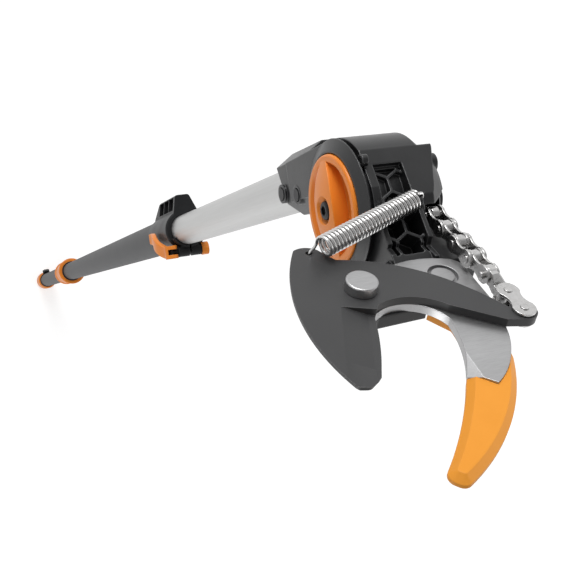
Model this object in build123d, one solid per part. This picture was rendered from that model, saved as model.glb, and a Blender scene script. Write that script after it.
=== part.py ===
from build123d import *
import math
import os

# Telescoping tree pruner. Millimetres. +Z runs up the pole, the head leans towards +X,
# and the swivel lock knob faces -Y. The origin is the middle of the flat pole end.

# Pole tubes
LOWER_TUBE_OD = 38.0
LOWER_TUBE_WALL = 1.8
UPPER_TUBE_OD = 30.0
UPPER_TUBE_WALL = 1.5
LOWER_TUBE_TOP = 1866.0
UPPER_TUBE_STUB = 30.0
UPPER_TUBE_TOP = 2250.0
POLE_EXTENSION = 850.0
POLE_RETRACTION = 320.0

# Clearances
SLIDE_GAP = 0.2
RUN_GAP = 0.06
SEAT_GAP = 0.05
ROTATE_GAP = 0.3

# End knob and its catch
END_KNOB_LENGTH = 92.0
END_KNOB_WALL = 6.0
END_FLOOR = 6.0
END_RING_HEIGHT = 10.0
END_RING_WALL = 2.2
CATCH_WIDTH = 13.0
CATCH_PIN_D = 4.0

# Pull handle
HANDLE_TOP = 800.0
HANDLE_LENGTH = 130.0
HANDLE_WALL = 4.4
HANDLE_FLANGE = 5.0
WIPER_HEIGHT = 5.0
WIPER_WALL = 2.4
CARRIAGE_LENGTH = 56.0
KEY_WIDTH = 8.0
KEY_LENGTH = 34.0
STRAP_WIDTH = 7.0
STRAP_THICKNESS = 1.6
STRAP_GRIP = 10.0

# Tube clamp
CLAMP_LENGTH = 101.0
CLAMP_LIP = 19.0
CLAMP_RING = 10.0
CLAMP_WALL = 1.6
CLAMP_TONGUE = 3.0
CLAMP_SLIT = 2.0
BUSH_LENGTH = 44.0
FIN_HEIGHT = 15.0
FIN_TOP_WIDTH = 14.0
FIN_BASE_WIDTH = 28.0
FIN_WALL = 1.8
BARREL_D = 11.5
CLAMP_BOLT_D = 5.0
CAM_D = 12.8
NUT_LENGTH = 7.0
NUT_D = 13.0

# Swivel between pole and head
SWIVEL_OFFSET = 22.4
SWIVEL_RISE = 45.7
SWIVEL_BOLT_D = 10.0
HEAD_TILT = 38.0
NECK_GRIP = 39.0
NECK_WALL = 4.5
NECK_HALF_WIDTH = 24.0
EAR_LIP = 4.1
EAR_FACE_Y = -30.0
EAR_RIM_Y = -25.0
EAR_BOSS_WALL = 3.0
EAR_HUB_R = 18.0
KNOB_R = 28.4
KNOB_DEPTH = 7.6
KNOB_WING_WIDTH = 21.8
KNOB_WING_RISE = 4.4
KNOB_SEAT_RISE = 1.2
KNOB_CUP_D = 17.4
KNOB_SCREW_D = 10.0
KNOB_SHANK_D = 5.0

# Drum that trades pull on the strap for pull on the chain
CHAIN_LINE = 11.5
CHAIN_PITCH = 12.7
CHAIN_Y = 10.4
CHAIN_PINS = 5
PLATE_HEIGHT = 8.4
PLATE_T = 1.2
ROLLER_D = 7.6
ROLLER_WIDTH = 3.8
PIN_D = 3.6
DRUM_FLANGE = 1.2

# Head housing, in the head's own frame: x along the arm, z square to the blades
HOUSING_LEFT_Y = -22.0
HOUSING_SHOULDER_Y = 10.0
HOUSING_RIGHT_Y = 19.0
COVER_END_Y = 27.5
HOUSING_RIM = 3.8
COVER_R = 29.0
HOUSING_WALL = 3.5
LINER_WALL = 1.8
HUB_ROOM_R = 17.5
CREASE_X = 4.5
SLOPE_FOOT_X = 57.0
SLOPE_FOOT_Z = 6.0
TROUGH_FLOOR = 3.4
TROUGH_LEFT_Y = 1.0
TROUGH_RIGHT_Y = 23.6
SIDE_WALL = 3.0
RIB_T = 2.4
MOUTH_X = 25.0
HEX_FLATS = 11.6
HEX_RIB = 1.4
HEX_DEPTH = 14.0
HEX_RECESS = 3.0

# Jaws
PIVOT_X = 76.2
PIVOT_Y = -51.2
SEAT_Z = 2.0
BRACKET_T = 6.5
COUNTER_T = 4.0
BLADE_T = 4.0
BLADE_GAP = 0.1
PIVOT_D = 8.0
PIVOT_HEAD_D = 14.6
PIVOT_HEAD_H = 4.8
LEVER_X = 31.4
LEVER_Y = 63.6
LEVER_END_R = 6.2
BLADE_SWING = 48.0
HOOK_BELOW = 4.5
HOOK_ABOVE = 3.0
HOOK_CHAMFER = 3.0
HOOK_TIP_R = 3.9
HOOK_UNDERCUT = 3.0
BLADE_RELIEF = 2.6
BLADE_TOE_R = 3.0
PLATE_SCREW_D = 5.0

# Return spring
SPRING_OD = 9.2
SPRING_WIRE = 1.2
SPRING_TURNS = 32
SPRING_LOOP_R = 2.4

# Fasteners
SMALL_SCREW_D = 4.0
SMALL_HEAD_D = 7.4

# Sizes that follow from the ones above
LOWER_R = LOWER_TUBE_OD / 2
LOWER_BORE = LOWER_R - LOWER_TUBE_WALL
UPPER_R = UPPER_TUBE_OD / 2
UPPER_BORE = UPPER_R - UPPER_TUBE_WALL
UPPER_TUBE_BOTTOM = HANDLE_TOP + UPPER_TUBE_STUB
SWIVEL_HEIGHT = UPPER_TUBE_TOP + SWIVEL_RISE
NECK_BOTTOM = UPPER_TUBE_TOP - NECK_GRIP
END_KNOB_R = LOWER_R + END_KNOB_WALL
END_RING_R = LOWER_R + END_RING_WALL
HANDLE_BORE = LOWER_R + SLIDE_GAP
GRIP_R = HANDLE_BORE + HANDLE_WALL
FLANGE_R = GRIP_R + HANDLE_FLANGE
HANDLE_BOTTOM = HANDLE_TOP - HANDLE_LENGTH
KEY_Z = (HANDLE_TOP + HANDLE_BOTTOM) / 2 + 20
CHAIN_TRAVEL = 2 * math.hypot(LEVER_X, LEVER_Y) * math.sin(math.radians(BLADE_SWING / 2))
HANDLE_TRAVEL = CHAIN_TRAVEL * SWIVEL_OFFSET / CHAIN_LINE
CLAMP_TOP = LOWER_TUBE_TOP + CLAMP_LIP
CLAMP_BOTTOM = CLAMP_TOP - CLAMP_LENGTH
CLAMP_R = LOWER_R + CLAMP_WALL
RING_TOP = LOWER_TUBE_TOP + CLAMP_RING
BARREL_X = UPPER_R + BARREL_D / 2
BARREL_Z = CLAMP_TOP - BARREL_D / 2 - 2
BARREL_HALF = 12.0
CAM_Y = -BARREL_HALF - CAM_D / 2 - ROTATE_GAP
LEVER_PIN_D = PIN_D
DRUM_R = SWIVEL_OFFSET - STRAP_THICKNESS / 2 - SEAT_GAP
CHAIN_HUB_R = CHAIN_LINE - PLATE_HEIGHT / 2 - ROTATE_GAP
SWIVEL_R = SWIVEL_BOLT_D / 2
KNOB_RECESS_R = KNOB_R + 0.5
EAR_BOSS_R = KNOB_RECESS_R + EAR_BOSS_WALL
EAR_R = EAR_BOSS_R + EAR_LIP
KNOB_BACK_Y = EAR_FACE_Y + KNOB_DEPTH
EAR_FLOOR_Y = KNOB_BACK_Y + ROTATE_GAP
EAR_BACK_Y = EAR_FLOOR_Y + 6.0
EAR_STEP_Y = EAR_FLOOR_Y + 2.6
COUNTERBORE_R = EAR_BOSS_R + ROTATE_GAP
HOUSING_R = COUNTERBORE_R + HOUSING_RIM
COUNTERBORE_Y = EAR_BACK_Y + ROTATE_GAP
COUNTERBORE_STEP_Y = EAR_STEP_Y + ROTATE_GAP
CAVITY_LEFT_Y = COUNTERBORE_Y + HOUSING_WALL
CREASE_Z = math.sqrt(HOUSING_R ** 2 - CREASE_X ** 2)
COUNTER_TOP = SEAT_Z + COUNTER_T
BLADE_BOTTOM = COUNTER_TOP + BLADE_GAP
BLADE_TOP = BLADE_BOTTOM + BLADE_T
BRACKET_BOTTOM = SEAT_Z - BRACKET_T
SPRING_HOLE = (PIVOT_X - 30.0, PIVOT_Y - 11.6)
SPRING_R = (SPRING_OD - SPRING_WIRE) / 2
LEVER_PIN = (PIVOT_X + LEVER_X, PIVOT_Y + LEVER_Y)
LINK_GAP = 0.25
LINK_MID_Z = (BLADE_BOTTOM + BLADE_TOP) / 2
CONNECTOR_X = LEVER_PIN[0] - CHAIN_PITCH
LAST_PIN_X = CONNECTOR_X - CHAIN_PITCH
LINK_Y = LEVER_PIN[1]
SLOPE_ANGLE = math.atan2(CREASE_Z - SLOPE_FOOT_Z, SLOPE_FOOT_X - CREASE_X)

TILT = math.radians(HEAD_TILT)
HEAD = Plane(
    origin=(SWIVEL_OFFSET, 0, SWIVEL_HEIGHT),
    x_dir=(math.sin(TILT), 0, math.cos(TILT)),
    z_dir=(-math.cos(TILT), 0, math.sin(TILT)),
).location
SWIVEL = Location((SWIVEL_OFFSET, 0, SWIVEL_HEIGHT))


def z_cyl(radius, low, high, x=0.0, y=0.0):
    return Pos(x, y, (low + high) / 2) * Cylinder(radius, high - low)


def y_cyl(radius, low, high, x=0.0, z=0.0):
    return Pos(x, (low + high) / 2, z) * Cylinder(radius, high - low, rotation=(90, 0, 0))


def x_cyl(radius, low, high, y=0.0, z=0.0):
    return Pos((low + high) / 2, y, z) * Cylinder(radius, high - low, rotation=(0, 90, 0))


def y_cone(radius_low, radius_high, low, high):
    cone = Cone(radius_low, radius_high, high - low, rotation=(-90, 0, 0))
    return Pos(0, (low + high) / 2, 0) * cone


def block(x, y, z):
    """Box given by its low and high limits on each axis."""
    return Pos(sum(x) / 2, sum(y) / 2, sum(z) / 2) * Box(x[1] - x[0], y[1] - y[0], z[1] - z[0])


def prism_y(points, low, high):
    face = make_face(Polyline(*[(x, low, z) for x, z in points], close=True))
    return extrude(face, amount=high - low, dir=(0, 1, 0))


def prism_z(points, low, high):
    face = make_face(Polyline(*[(x, y, low) for x, y in points], close=True))
    return extrude(face, amount=high - low, dir=(0, 0, 1))


def plate_z(edges, low, high):
    face = make_face(edges)
    return Pos(0, 0, low) * extrude(face, amount=high - low, dir=(0, 0, 1))


def turned(points):
    """Body of revolution about Z from (radius, height) points."""
    face = make_face(Polyline(*[(r, 0, z) for r, z in points], close=True))
    return revolve(face, Axis.Z)


def turned_y(points):
    """Body of revolution about Y from (radius, y) points."""
    face = make_face(Polyline(*[(r, y, 0) for r, y in points], close=True))
    return revolve(face, Axis.Y)


def tube(outer, wall, low, high):
    return z_cyl(outer, low, high) - z_cyl(outer - wall, low - 1, high + 1)


def jaw(x, y):
    """Point given from the blade pivot, in the head's plan."""
    return (PIVOT_X + x, PIVOT_Y + y)


def y_screw(x, z, head_y, length, direction, shank_d, head_d):
    """Pan head screw along Y whose head sits at head_y and whose shank points along direction."""
    head_h = 0.45 * shank_d + 0.8
    tip = head_y + direction * length
    back = head_y - direction * head_h
    shank = y_cyl(shank_d / 2, min(head_y, tip), max(head_y, tip), x, z)
    head = y_cyl(head_d / 2, min(head_y, back), max(head_y, back), x, z)
    return shank + head


# Lower pole

def lower_tube():
    low = KEY_Z - HANDLE_TRAVEL - POLE_RETRACTION - KEY_LENGTH / 2 - 4
    high = KEY_Z + POLE_EXTENSION + KEY_LENGTH / 2 + 4
    slot = block((-KEY_WIDTH / 2 - SLIDE_GAP, KEY_WIDTH / 2 + SLIDE_GAP), (0, LOWER_R + 2), (low, high))
    body = tube(LOWER_R, LOWER_TUBE_WALL, END_FLOOR, LOWER_TUBE_TOP) - slot
    return body - x_cyl(SMALL_SCREW_D / 2, -LOWER_R - 1, LOWER_R + 1, 0, END_KNOB_LENGTH / 2)


def end_knob():
    top = END_KNOB_LENGTH
    rim = END_KNOB_R
    waist = LOWER_R + END_KNOB_WALL * 0.55
    foot = END_KNOB_R - 5
    line = [
        Line((0, 0, 0), (foot, 0, 0)),
        ThreePointArc((foot, 0, 0), (rim - 1.2, 0, 4), (rim, 0, 12)),
        ThreePointArc((rim, 0, 12), (waist, 0, top * 0.55), (rim, 0, top - 8)),
        ThreePointArc((rim, 0, top - 8), (rim - 1, 0, top - 2), (rim - 4, 0, top)),
        Line((rim - 4, 0, top), (0, 0, top)),
        Line((0, 0, top), (0, 0, 0)),
    ]
    body = revolve(make_face(line), Axis.Z) - z_cyl(LOWER_R + SEAT_GAP, END_FLOOR, top + 1)
    return body - x_cyl(SMALL_SCREW_D / 2, -rim - 1, rim + 1, 0, top / 2)


def end_pin():
    half = LOWER_R + END_KNOB_WALL * 0.5
    return x_cyl(SMALL_SCREW_D / 2 - SEAT_GAP, -half, half, 0, END_KNOB_LENGTH / 2)


CATCH_X = -END_RING_R - CATCH_PIN_D / 2 - 2.2 - ROTATE_GAP
CATCH_Z = END_KNOB_LENGTH + END_RING_HEIGHT / 2


def end_ring():
    low = END_KNOB_LENGTH
    ring = tube(END_RING_R, END_RING_WALL - SEAT_GAP, low, low + END_RING_HEIGHT)
    half = CATCH_WIDTH / 2
    for side in (-1, 1):
        inner = side * (half + ROTATE_GAP)
        outer = side * (half + 3)
        y = (min(inner, outer), max(inner, outer))
        ear = block((CATCH_X, -LOWER_R - 0.5), y, (low, low + END_RING_HEIGHT))
        ear += y_cyl(END_RING_HEIGHT / 2, y[0], y[1], CATCH_X, CATCH_Z)
        ring += ear
    pin = y_cyl(CATCH_PIN_D / 2 - RUN_GAP, -half - 2, half + 2, CATCH_X, CATCH_Z)
    return ring + pin


def end_catch():
    """Hook that swings on the ring and holds the pull handle when it is parked."""
    half = CATCH_WIDTH / 2
    arm = prism_y(
        [
            (CATCH_X - 4, CATCH_Z - 1),
            (CATCH_X - 6.5, CATCH_Z + 14),
            (CATCH_X - 5.5, CATCH_Z + 22),
            (CATCH_X - 1, CATCH_Z + 23),
            (CATCH_X + 2.2, CATCH_Z + 20),
            (CATCH_X - 1.5, CATCH_Z + 17),
            (CATCH_X - 1, CATCH_Z + 8),
            (CATCH_X + 2, CATCH_Z + 4),
        ],
        -half,
        half,
    )
    eye = y_cyl(CATCH_PIN_D / 2 + 2.2, -half, half, CATCH_X, CATCH_Z)
    return (arm + eye) - y_cyl(CATCH_PIN_D / 2, -half - 1, half + 1, CATCH_X, CATCH_Z)


# Tube clamp

def clamp_shell():
    """Sleeve over the lower tube, with a slim tongue on the bolt side only."""
    waist = UPPER_R + CLAMP_TONGUE
    bore = UPPER_R + SLIDE_GAP
    seat = LOWER_R + SEAT_GAP
    shell = turned(
        [
            (seat, CLAMP_BOTTOM),
            (CLAMP_R - 1, CLAMP_BOTTOM),
            (CLAMP_R, CLAMP_BOTTOM + 2),
            (CLAMP_R, RING_TOP - 1.2),
            (CLAMP_R - 1.2, RING_TOP),
            (waist, RING_TOP),
            (waist, CLAMP_TOP - 2),
            (waist - 1, CLAMP_TOP),
            (bore, CLAMP_TOP),
            (bore, LOWER_TUBE_TOP),
            (seat, LOWER_TUBE_TOP),
        ]
    )
    return shell - block((-60, UPPER_R / 2), (-60, 60), (RING_TOP, CLAMP_TOP + 1))


def clamp_fin():
    base = -UPPER_R + 2
    top = -CLAMP_R - FIN_HEIGHT
    shift = 3.0
    low, high = CLAMP_BOTTOM, RING_TOP
    wide, slim = FIN_BASE_WIDTH / 2, FIN_TOP_WIDTH / 2
    front = make_face(Polyline(
        (base, shift - wide, high), (top, shift - slim - 2, high), (top, shift + slim - 2, high),
        (base, shift + wide, high), close=True))
    fin = extrude(front, amount=high - low, dir=(0, 0, -1))
    back = prism_y([(top - 2, low - 1), (top - 2, low + 26), (top, low + 20), (-LOWER_R, low - 1)], -30, 30)
    fin = fillet((fin - back).edges().filter_by(Axis.Z).sort_by(Axis.X)[:2], 3.0)
    pocket_top = top + FIN_WALL
    pocket_base = -CLAMP_R - 0.5
    z_low, z_high = low + 22, high - FIN_WALL - 2
    step = (z_high - z_low) / 3
    for i in range(3):
        z = (z_low + i * step, z_low + (i + 1) * step - FIN_WALL)
        fin -= block((pocket_top, pocket_base), (-30, shift + slim - FIN_WALL - 2), z)
    return fin


def clamp_collar():
    barrel = y_cyl(BARREL_D / 2, -BARREL_HALF, BARREL_HALF, BARREL_X, BARREL_Z)
    web = block((UPPER_R - 2, BARREL_X), (-BARREL_HALF + 3, BARREL_HALF - 3), (BARREL_Z - 5, BARREL_Z + 5))
    body = clamp_shell() + clamp_fin() + barrel + web
    body -= z_cyl(LOWER_R + SEAT_GAP, CLAMP_BOTTOM - 1, LOWER_TUBE_TOP)
    body -= z_cyl(UPPER_R + SLIDE_GAP, CLAMP_BOTTOM - 1, CLAMP_TOP + 1)
    slit = block((0, CLAMP_R + 20), (-CLAMP_SLIT / 2, CLAMP_SLIT / 2), (CLAMP_BOTTOM - 1, CLAMP_TOP + 1))
    body -= slit
    reach = CAM_D / 2 + ROTATE_GAP
    body -= x_cyl(reach, BARREL_X - reach, BARREL_X + reach, CAM_Y, BARREL_Z)
    body -= y_cyl(NUT_D / 2 + ROTATE_GAP, BARREL_HALF, 40, BARREL_X, BARREL_Z)
    return body - y_cyl(CLAMP_BOLT_D / 2 + SEAT_GAP, -30, 30, BARREL_X, BARREL_Z)


def pole_bush():
    low = LOWER_TUBE_TOP - BUSH_LENGTH
    outer = LOWER_BORE - SEAT_GAP
    return tube(outer, outer - UPPER_R - SLIDE_GAP, low, LOWER_TUBE_TOP)


def clamp_bolt():
    shank = y_cyl(CLAMP_BOLT_D / 2, CAM_Y, BARREL_HALF + NUT_LENGTH - 2, BARREL_X, BARREL_Z)
    eye = x_cyl(CLAMP_BOLT_D / 2, BARREL_X - 2.4, BARREL_X + 2.4, CAM_Y, BARREL_Z)
    pin = x_cyl(1.5, BARREL_X - CAM_D / 2 + 0.5, BARREL_X + CAM_D / 2 - 0.5, CAM_Y, BARREL_Z)
    return shank + eye + pin


def clamp_nut():
    low = BARREL_HALF + SEAT_GAP
    body = Pos(BARREL_X, low, BARREL_Z) * extrude(
        Plane.XZ * RegularPolygon(NUT_D / 2, 12), amount=NUT_LENGTH, dir=(0, 1, 0))
    return body - y_cyl(CLAMP_BOLT_D / 2 + RUN_GAP, low - 1, low + NUT_LENGTH - 1.5, BARREL_X, BARREL_Z)


def arm_section(x, y, z, wide, thick):
    """Rounded section of the clamp lever, square to the pole."""
    return Pos(x, y, z) * RectangleRounded(wide, thick, thick * 0.3)


def clamp_lever():
    head = x_cyl(CAM_D / 2, BARREL_X - CAM_D / 2, BARREL_X + CAM_D / 2, CAM_Y, BARREL_Z)
    outside = -CLAMP_R - 3.2
    arm = loft(
        [
            arm_section(BARREL_X, CAM_Y - 2.6, BARREL_Z + 2, CAM_D - 1, 6.0),
            arm_section(BARREL_X - 2, CAM_Y - 4.6, BARREL_Z - 10, CAM_D, 5.6),
            arm_section(BARREL_X - 11, outside - 3.2, BARREL_Z - 27, CAM_D + 1, 5.0),
            arm_section(BARREL_X - 17, outside - 1.2, BARREL_Z - 43, CAM_D, 4.4),
            arm_section(BARREL_X - 18, outside - 2.6, BARREL_Z - 50, CAM_D - 2, 3.6),
        ]
    )
    slot_y = (CAM_Y - CLAMP_BOLT_D, 0)
    slot_x = (BARREL_X - 2.4 - ROTATE_GAP, BARREL_X + 2.4 + ROTATE_GAP)
    reach = CLAMP_BOLT_D / 2 + ROTATE_GAP
    slot = block(slot_x, slot_y, (BARREL_Z - reach, BARREL_Z + reach))
    fan = x_cyl(CAM_D, *slot_x, CAM_Y, BARREL_Z)
    fan &= block(slot_x, (CAM_Y - reach - 1.4, CAM_Y + CAM_D), (BARREL_Z - reach, BARREL_Z + CAM_D))
    bore = x_cyl(1.5 + RUN_GAP, BARREL_X - CAM_D, BARREL_X + CAM_D, CAM_Y, BARREL_Z)
    return head + arm - slot - fan - bore


# Upper pole

def upper_tube():
    body = tube(UPPER_R, UPPER_TUBE_WALL, UPPER_TUBE_BOTTOM, UPPER_TUBE_TOP)
    for x, z in NECK_SCREWS:
        body -= y_cyl(SMALL_SCREW_D / 2 + SEAT_GAP, -UPPER_R - 1, UPPER_R + 1, x, z)
    return body


def guide_sleeve():
    low = UPPER_TUBE_BOTTOM - 5
    outer = LOWER_BORE - SLIDE_GAP
    body = z_cyl(outer, low, low + 42) - z_cyl(UPPER_BORE - 2, low - 1, low + 50)
    return body - z_cyl(UPPER_R + SEAT_GAP, UPPER_TUBE_BOTTOM, low + 50)


NECK_TOP = SWIVEL_HEIGHT - HOUSING_R - 3.0
NECK_SCREWS = [(5.0, NECK_BOTTOM + 9), (8.5, NECK_BOTTOM + 32)]


def neck_outline():
    half_x = UPPER_R + NECK_WALL
    half_y = NECK_HALF_WIDTH
    cut = 8.0
    return [
        (-half_x, -half_y + 1.6 * cut), (-half_x + cut, -half_y), (half_x - cut, -half_y),
        (half_x, -half_y + cut), (half_x, half_y - cut), (half_x - cut, half_y),
        (-half_x + cut, half_y), (-half_x, half_y - 1.6 * cut),
    ]


def neck_body():
    body = prism_z(neck_outline(), NECK_BOTTOM, NECK_TOP)
    half_x = UPPER_R + NECK_WALL
    slant = prism_y(
        [(-half_x - 1, NECK_BOTTOM - 1), (half_x + 1, NECK_BOTTOM - 1), (half_x + 1, NECK_BOTTOM + 16)],
        -NECK_HALF_WIDTH - 1, NECK_HALF_WIDTH + 1)
    bore = z_cyl(UPPER_R + SEAT_GAP, NECK_BOTTOM - 1, UPPER_TUBE_TOP)
    mouth = z_cyl(UPPER_BORE - 1, UPPER_TUBE_TOP - 1, NECK_TOP + 1)
    return body - slant - bore - mouth


def neck_ear():
    """Round ear on the knob side, with its web down to the neck."""
    half_x = UPPER_R + NECK_WALL
    rim = turned_y(
        [(0, EAR_BACK_Y), (EAR_HUB_R, EAR_BACK_Y), (EAR_HUB_R, EAR_STEP_Y), (EAR_BOSS_R, EAR_STEP_Y),
         (EAR_BOSS_R, EAR_RIM_Y), (EAR_R, EAR_RIM_Y), (EAR_R, EAR_RIM_Y - 0.4),
         (KNOB_RECESS_R + 1.0, EAR_FACE_Y + 1.6), (0, EAR_FACE_Y + 1.6)])
    web = prism_y(
        [(-half_x + 8, NECK_TOP - 24), (SWIVEL_OFFSET - EAR_R + 0.4, SWIVEL_HEIGHT),
         (SWIVEL_OFFSET, SWIVEL_HEIGHT), (half_x - 8, SWIVEL_HEIGHT - 30), (half_x - 8, NECK_TOP - 24)],
        EAR_RIM_Y - 0.4, -NECK_HALF_WIDTH + 0.6)
    inside = y_cyl(HOUSING_R + 0.8, EAR_RIM_Y, -10, SWIVEL_OFFSET, SWIVEL_HEIGHT)
    ear = (SWIVEL * rim) + (web - inside)
    ear -= y_cyl(KNOB_RECESS_R, EAR_FACE_Y - 1, EAR_FLOOR_Y, SWIVEL_OFFSET, SWIVEL_HEIGHT)
    return ear - y_cyl(SWIVEL_R + SEAT_GAP, EAR_FACE_Y - 1, 0, SWIVEL_OFFSET, SWIVEL_HEIGHT)


def screw_bosses():
    bosses = Part()
    for x, z in NECK_SCREWS:
        bosses += y_cyl(SMALL_HEAD_D / 2 + 2, -NECK_HALF_WIDTH - 1.6, -UPPER_R - 1, x, z)
    return bosses


def screw_holes():
    holes = Part()
    seat = -NECK_HALF_WIDTH + 0.6
    for x, z in NECK_SCREWS:
        holes += y_cyl(SMALL_SCREW_D / 2 + SEAT_GAP, -40, 40, x, z)
        holes += y_cyl(SMALL_HEAD_D / 2 + 0.4, -40, seat, x, z)
    return holes


def neck_left():
    far = block((-90, 90), (0, 90), (NECK_BOTTOM - 90, NECK_TOP + 90))
    body = neck_body() - far
    bore = z_cyl(UPPER_R + SEAT_GAP, NECK_BOTTOM - 1, UPPER_TUBE_TOP)
    return body + neck_ear() + (screw_bosses() - bore) - screw_holes()


def neck_right():
    near = block((-90, 90), (-90, 0), (NECK_BOTTOM - 90, NECK_TOP + 90))
    return neck_body() - near - screw_holes()


def neck_screws():
    length = NECK_HALF_WIDTH + UPPER_R
    screws = [
        y_screw(x, z, -NECK_HALF_WIDTH + 0.6, length, 1, SMALL_SCREW_D, SMALL_HEAD_D)
        for x, z in NECK_SCREWS
    ]
    return screws


def swivel_bolt():
    low = KNOB_BACK_Y - 2
    shank = y_cyl(SWIVEL_R, low, COVER_END_Y + 2)
    head = y_cyl(SWIVEL_R + 4, COVER_END_Y + SEAT_GAP, COVER_END_Y + 4.5)
    return SWIVEL * (shank + head)


# Swivel lock knob

def wing_plan(half_length, low, high):
    """Lens shaped prism along Y, widest over the hub."""
    half = KNOB_WING_WIDTH / 2
    tip = half * 0.24
    edges = [
        ThreePointArc((-half_length, low, tip), (0, low, half), (half_length, low, tip)),
        Line((half_length, low, tip), (half_length, low, -tip)),
        ThreePointArc((half_length, low, -tip), (0, low, -half), (-half_length, low, -tip)),
        Line((-half_length, low, -tip), (-half_length, low, tip)),
    ]
    return extrude(make_face(edges), amount=high - low, dir=(0, 1, 0))


def lock_knob():
    rim = 3.0
    floor = KNOB_BACK_Y - 2.4
    crest = EAR_FACE_Y - KNOB_WING_RISE
    seat = EAR_FACE_Y - KNOB_SEAT_RISE
    disc = y_cyl(KNOB_R, EAR_FACE_Y, KNOB_BACK_Y)
    disc = fillet(disc.faces().sort_by(Axis.Y)[0].edges(), 1.5)
    dish = turned_y([(0, floor), (KNOB_R - rim - 5, floor), (KNOB_R - rim, EAR_FACE_Y - 1), (0, EAR_FACE_Y - 1)])
    lens = [
        Line((0, crest, 0), (0, floor, 0)),
        Line((0, floor, 0), (KNOB_R - rim, floor, 0)),
        Line((KNOB_R - rim, floor, 0), (KNOB_R - rim, EAR_FACE_Y, 0)),
        ThreePointArc((KNOB_R - rim, EAR_FACE_Y, 0), (KNOB_R * 0.5, crest + 1.4, 0), (0, crest, 0)),
    ]
    wing = revolve(make_face(lens), Axis.Y) & wing_plan(KNOB_R - rim, crest - 1, floor)
    cup = turned_y([(0, seat), (KNOB_SCREW_D / 2 + 0.5, seat), (KNOB_CUP_D / 2, crest - 1), (0, crest - 1)])
    body = disc - dish + wing - cup
    body -= y_cyl(KNOB_SHANK_D / 2 + SEAT_GAP, seat - 1, KNOB_BACK_Y)
    return SWIVEL * (body - y_cyl(SWIVEL_R + RUN_GAP, KNOB_BACK_Y - 2.1, KNOB_BACK_Y + 1))


def knob_screw():
    seat = EAR_FACE_Y - KNOB_SEAT_RISE
    head = y_cyl(KNOB_SCREW_D / 2, seat - 2.6, seat)
    head = fillet(head.faces().sort_by(Axis.Y)[0].edges(), 1.6)
    shank = y_cyl(KNOB_SHANK_D / 2, seat, KNOB_BACK_Y - 2 - SEAT_GAP)
    socket = Pos(0, seat - 2.7, 0) * extrude(
        Plane.XZ * RegularPolygon(KNOB_SCREW_D * 0.28, 6), amount=1.6, dir=(0, 1, 0))
    return SWIVEL * (head + shank - socket)


# Pull handle

def handle_grip():
    top, low = HANDLE_TOP, HANDLE_BOTTOM
    waist = GRIP_R - 1.2
    seat = HANDLE_BORE + WIPER_WALL
    lip = 12.0
    line = [
        Line((HANDLE_BORE, 0, low), (GRIP_R + 2, 0, low)),
        ThreePointArc((GRIP_R + 2, 0, low), (GRIP_R + 3.2, 0, low + 5), (GRIP_R + 1, 0, low + 10)),
        ThreePointArc((GRIP_R + 1, 0, low + 10), (waist, 0, (low + top) / 2), (GRIP_R + 1, 0, top - lip)),
        ThreePointArc((GRIP_R + 1, 0, top - lip), (FLANGE_R - 1.5, 0, top - lip * 0.6), (FLANGE_R, 0, top - 3)),
        ThreePointArc((FLANGE_R, 0, top - 3), (FLANGE_R - 0.9, 0, top - 0.9), (FLANGE_R - 3, 0, top)),
        Line((FLANGE_R - 3, 0, top), (seat, 0, top)),
        Line((seat, 0, top), (seat, 0, top - WIPER_HEIGHT)),
        Line((seat, 0, top - WIPER_HEIGHT), (HANDLE_BORE, 0, top - WIPER_HEIGHT)),
        Line((HANDLE_BORE, 0, top - WIPER_HEIGHT), (HANDLE_BORE, 0, low)),
    ]
    body = revolve(make_face(line), Axis.Z)
    half = KEY_WIDTH / 2 + SEAT_GAP
    keyway = block((-half, half), (0, GRIP_R - 1.6), (KEY_Z - KEY_LENGTH / 2, KEY_Z + KEY_LENGTH / 2))
    return body - keyway


def handle_wiper():
    outer = HANDLE_BORE + WIPER_WALL - SEAT_GAP
    return tube(outer, outer - LOWER_R - SLIDE_GAP / 2, HANDLE_TOP - WIPER_HEIGHT, HANDLE_TOP + 1.2)


def carriage():
    low, high = KEY_Z - CARRIAGE_LENGTH / 2, KEY_Z + CARRIAGE_LENGTH / 2
    body = z_cyl(LOWER_BORE - SLIDE_GAP, low, high)
    half = KEY_WIDTH / 2 + SEAT_GAP
    body -= block((-half, half), (2, 40), (KEY_Z - KEY_LENGTH / 2, KEY_Z + KEY_LENGTH / 2))
    wide, thick = STRAP_WIDTH / 2 + SEAT_GAP, STRAP_THICKNESS / 2 + SEAT_GAP
    return body - block((-thick, thick), (-wide, wide), (high - STRAP_GRIP, high + 1))


def carriage_key():
    half = KEY_WIDTH / 2
    reach = GRIP_R - 1.6 - SEAT_GAP
    return block((-half, half), (2 + SEAT_GAP, reach), (KEY_Z - KEY_LENGTH / 2, KEY_Z + KEY_LENGTH / 2))


def pull_strap():
    low = KEY_Z + CARRIAGE_LENGTH / 2 - STRAP_GRIP + SEAT_GAP
    thick, wide = STRAP_THICKNESS / 2, STRAP_WIDTH / 2
    return block((-thick, thick), (-wide, wide), (low, SWIVEL_HEIGHT - STRAP_END_DROP))


# Drum

def drum():
    half = STRAP_WIDTH / 2 + 0.3
    flange_r = DRUM_R + STRAP_THICKNESS + DRUM_FLANGE
    right = CHAIN_Y - CHAIN_HALF - ROTATE_GAP - 0.2
    body = y_cyl(DRUM_R, -half, half)
    body += y_cyl(flange_r, -half - 1.4, -half) + y_cyl(flange_r, half, right)
    body += y_cyl(SWIVEL_R + 4, CAVITY_LEFT_Y + ROTATE_GAP, -half)
    body += y_cyl(CHAIN_HUB_R, half, TROUGH_RIGHT_Y - ROTATE_GAP)
    for i in range(5):
        turn = math.radians(72 * i)
        body -= y_cyl(4.2, -40, 40, 14.0 * math.cos(turn), 14.0 * math.sin(turn))
    return SWIVEL * (body - y_cyl(SWIVEL_R + RUN_GAP, -40, 60))


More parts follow.
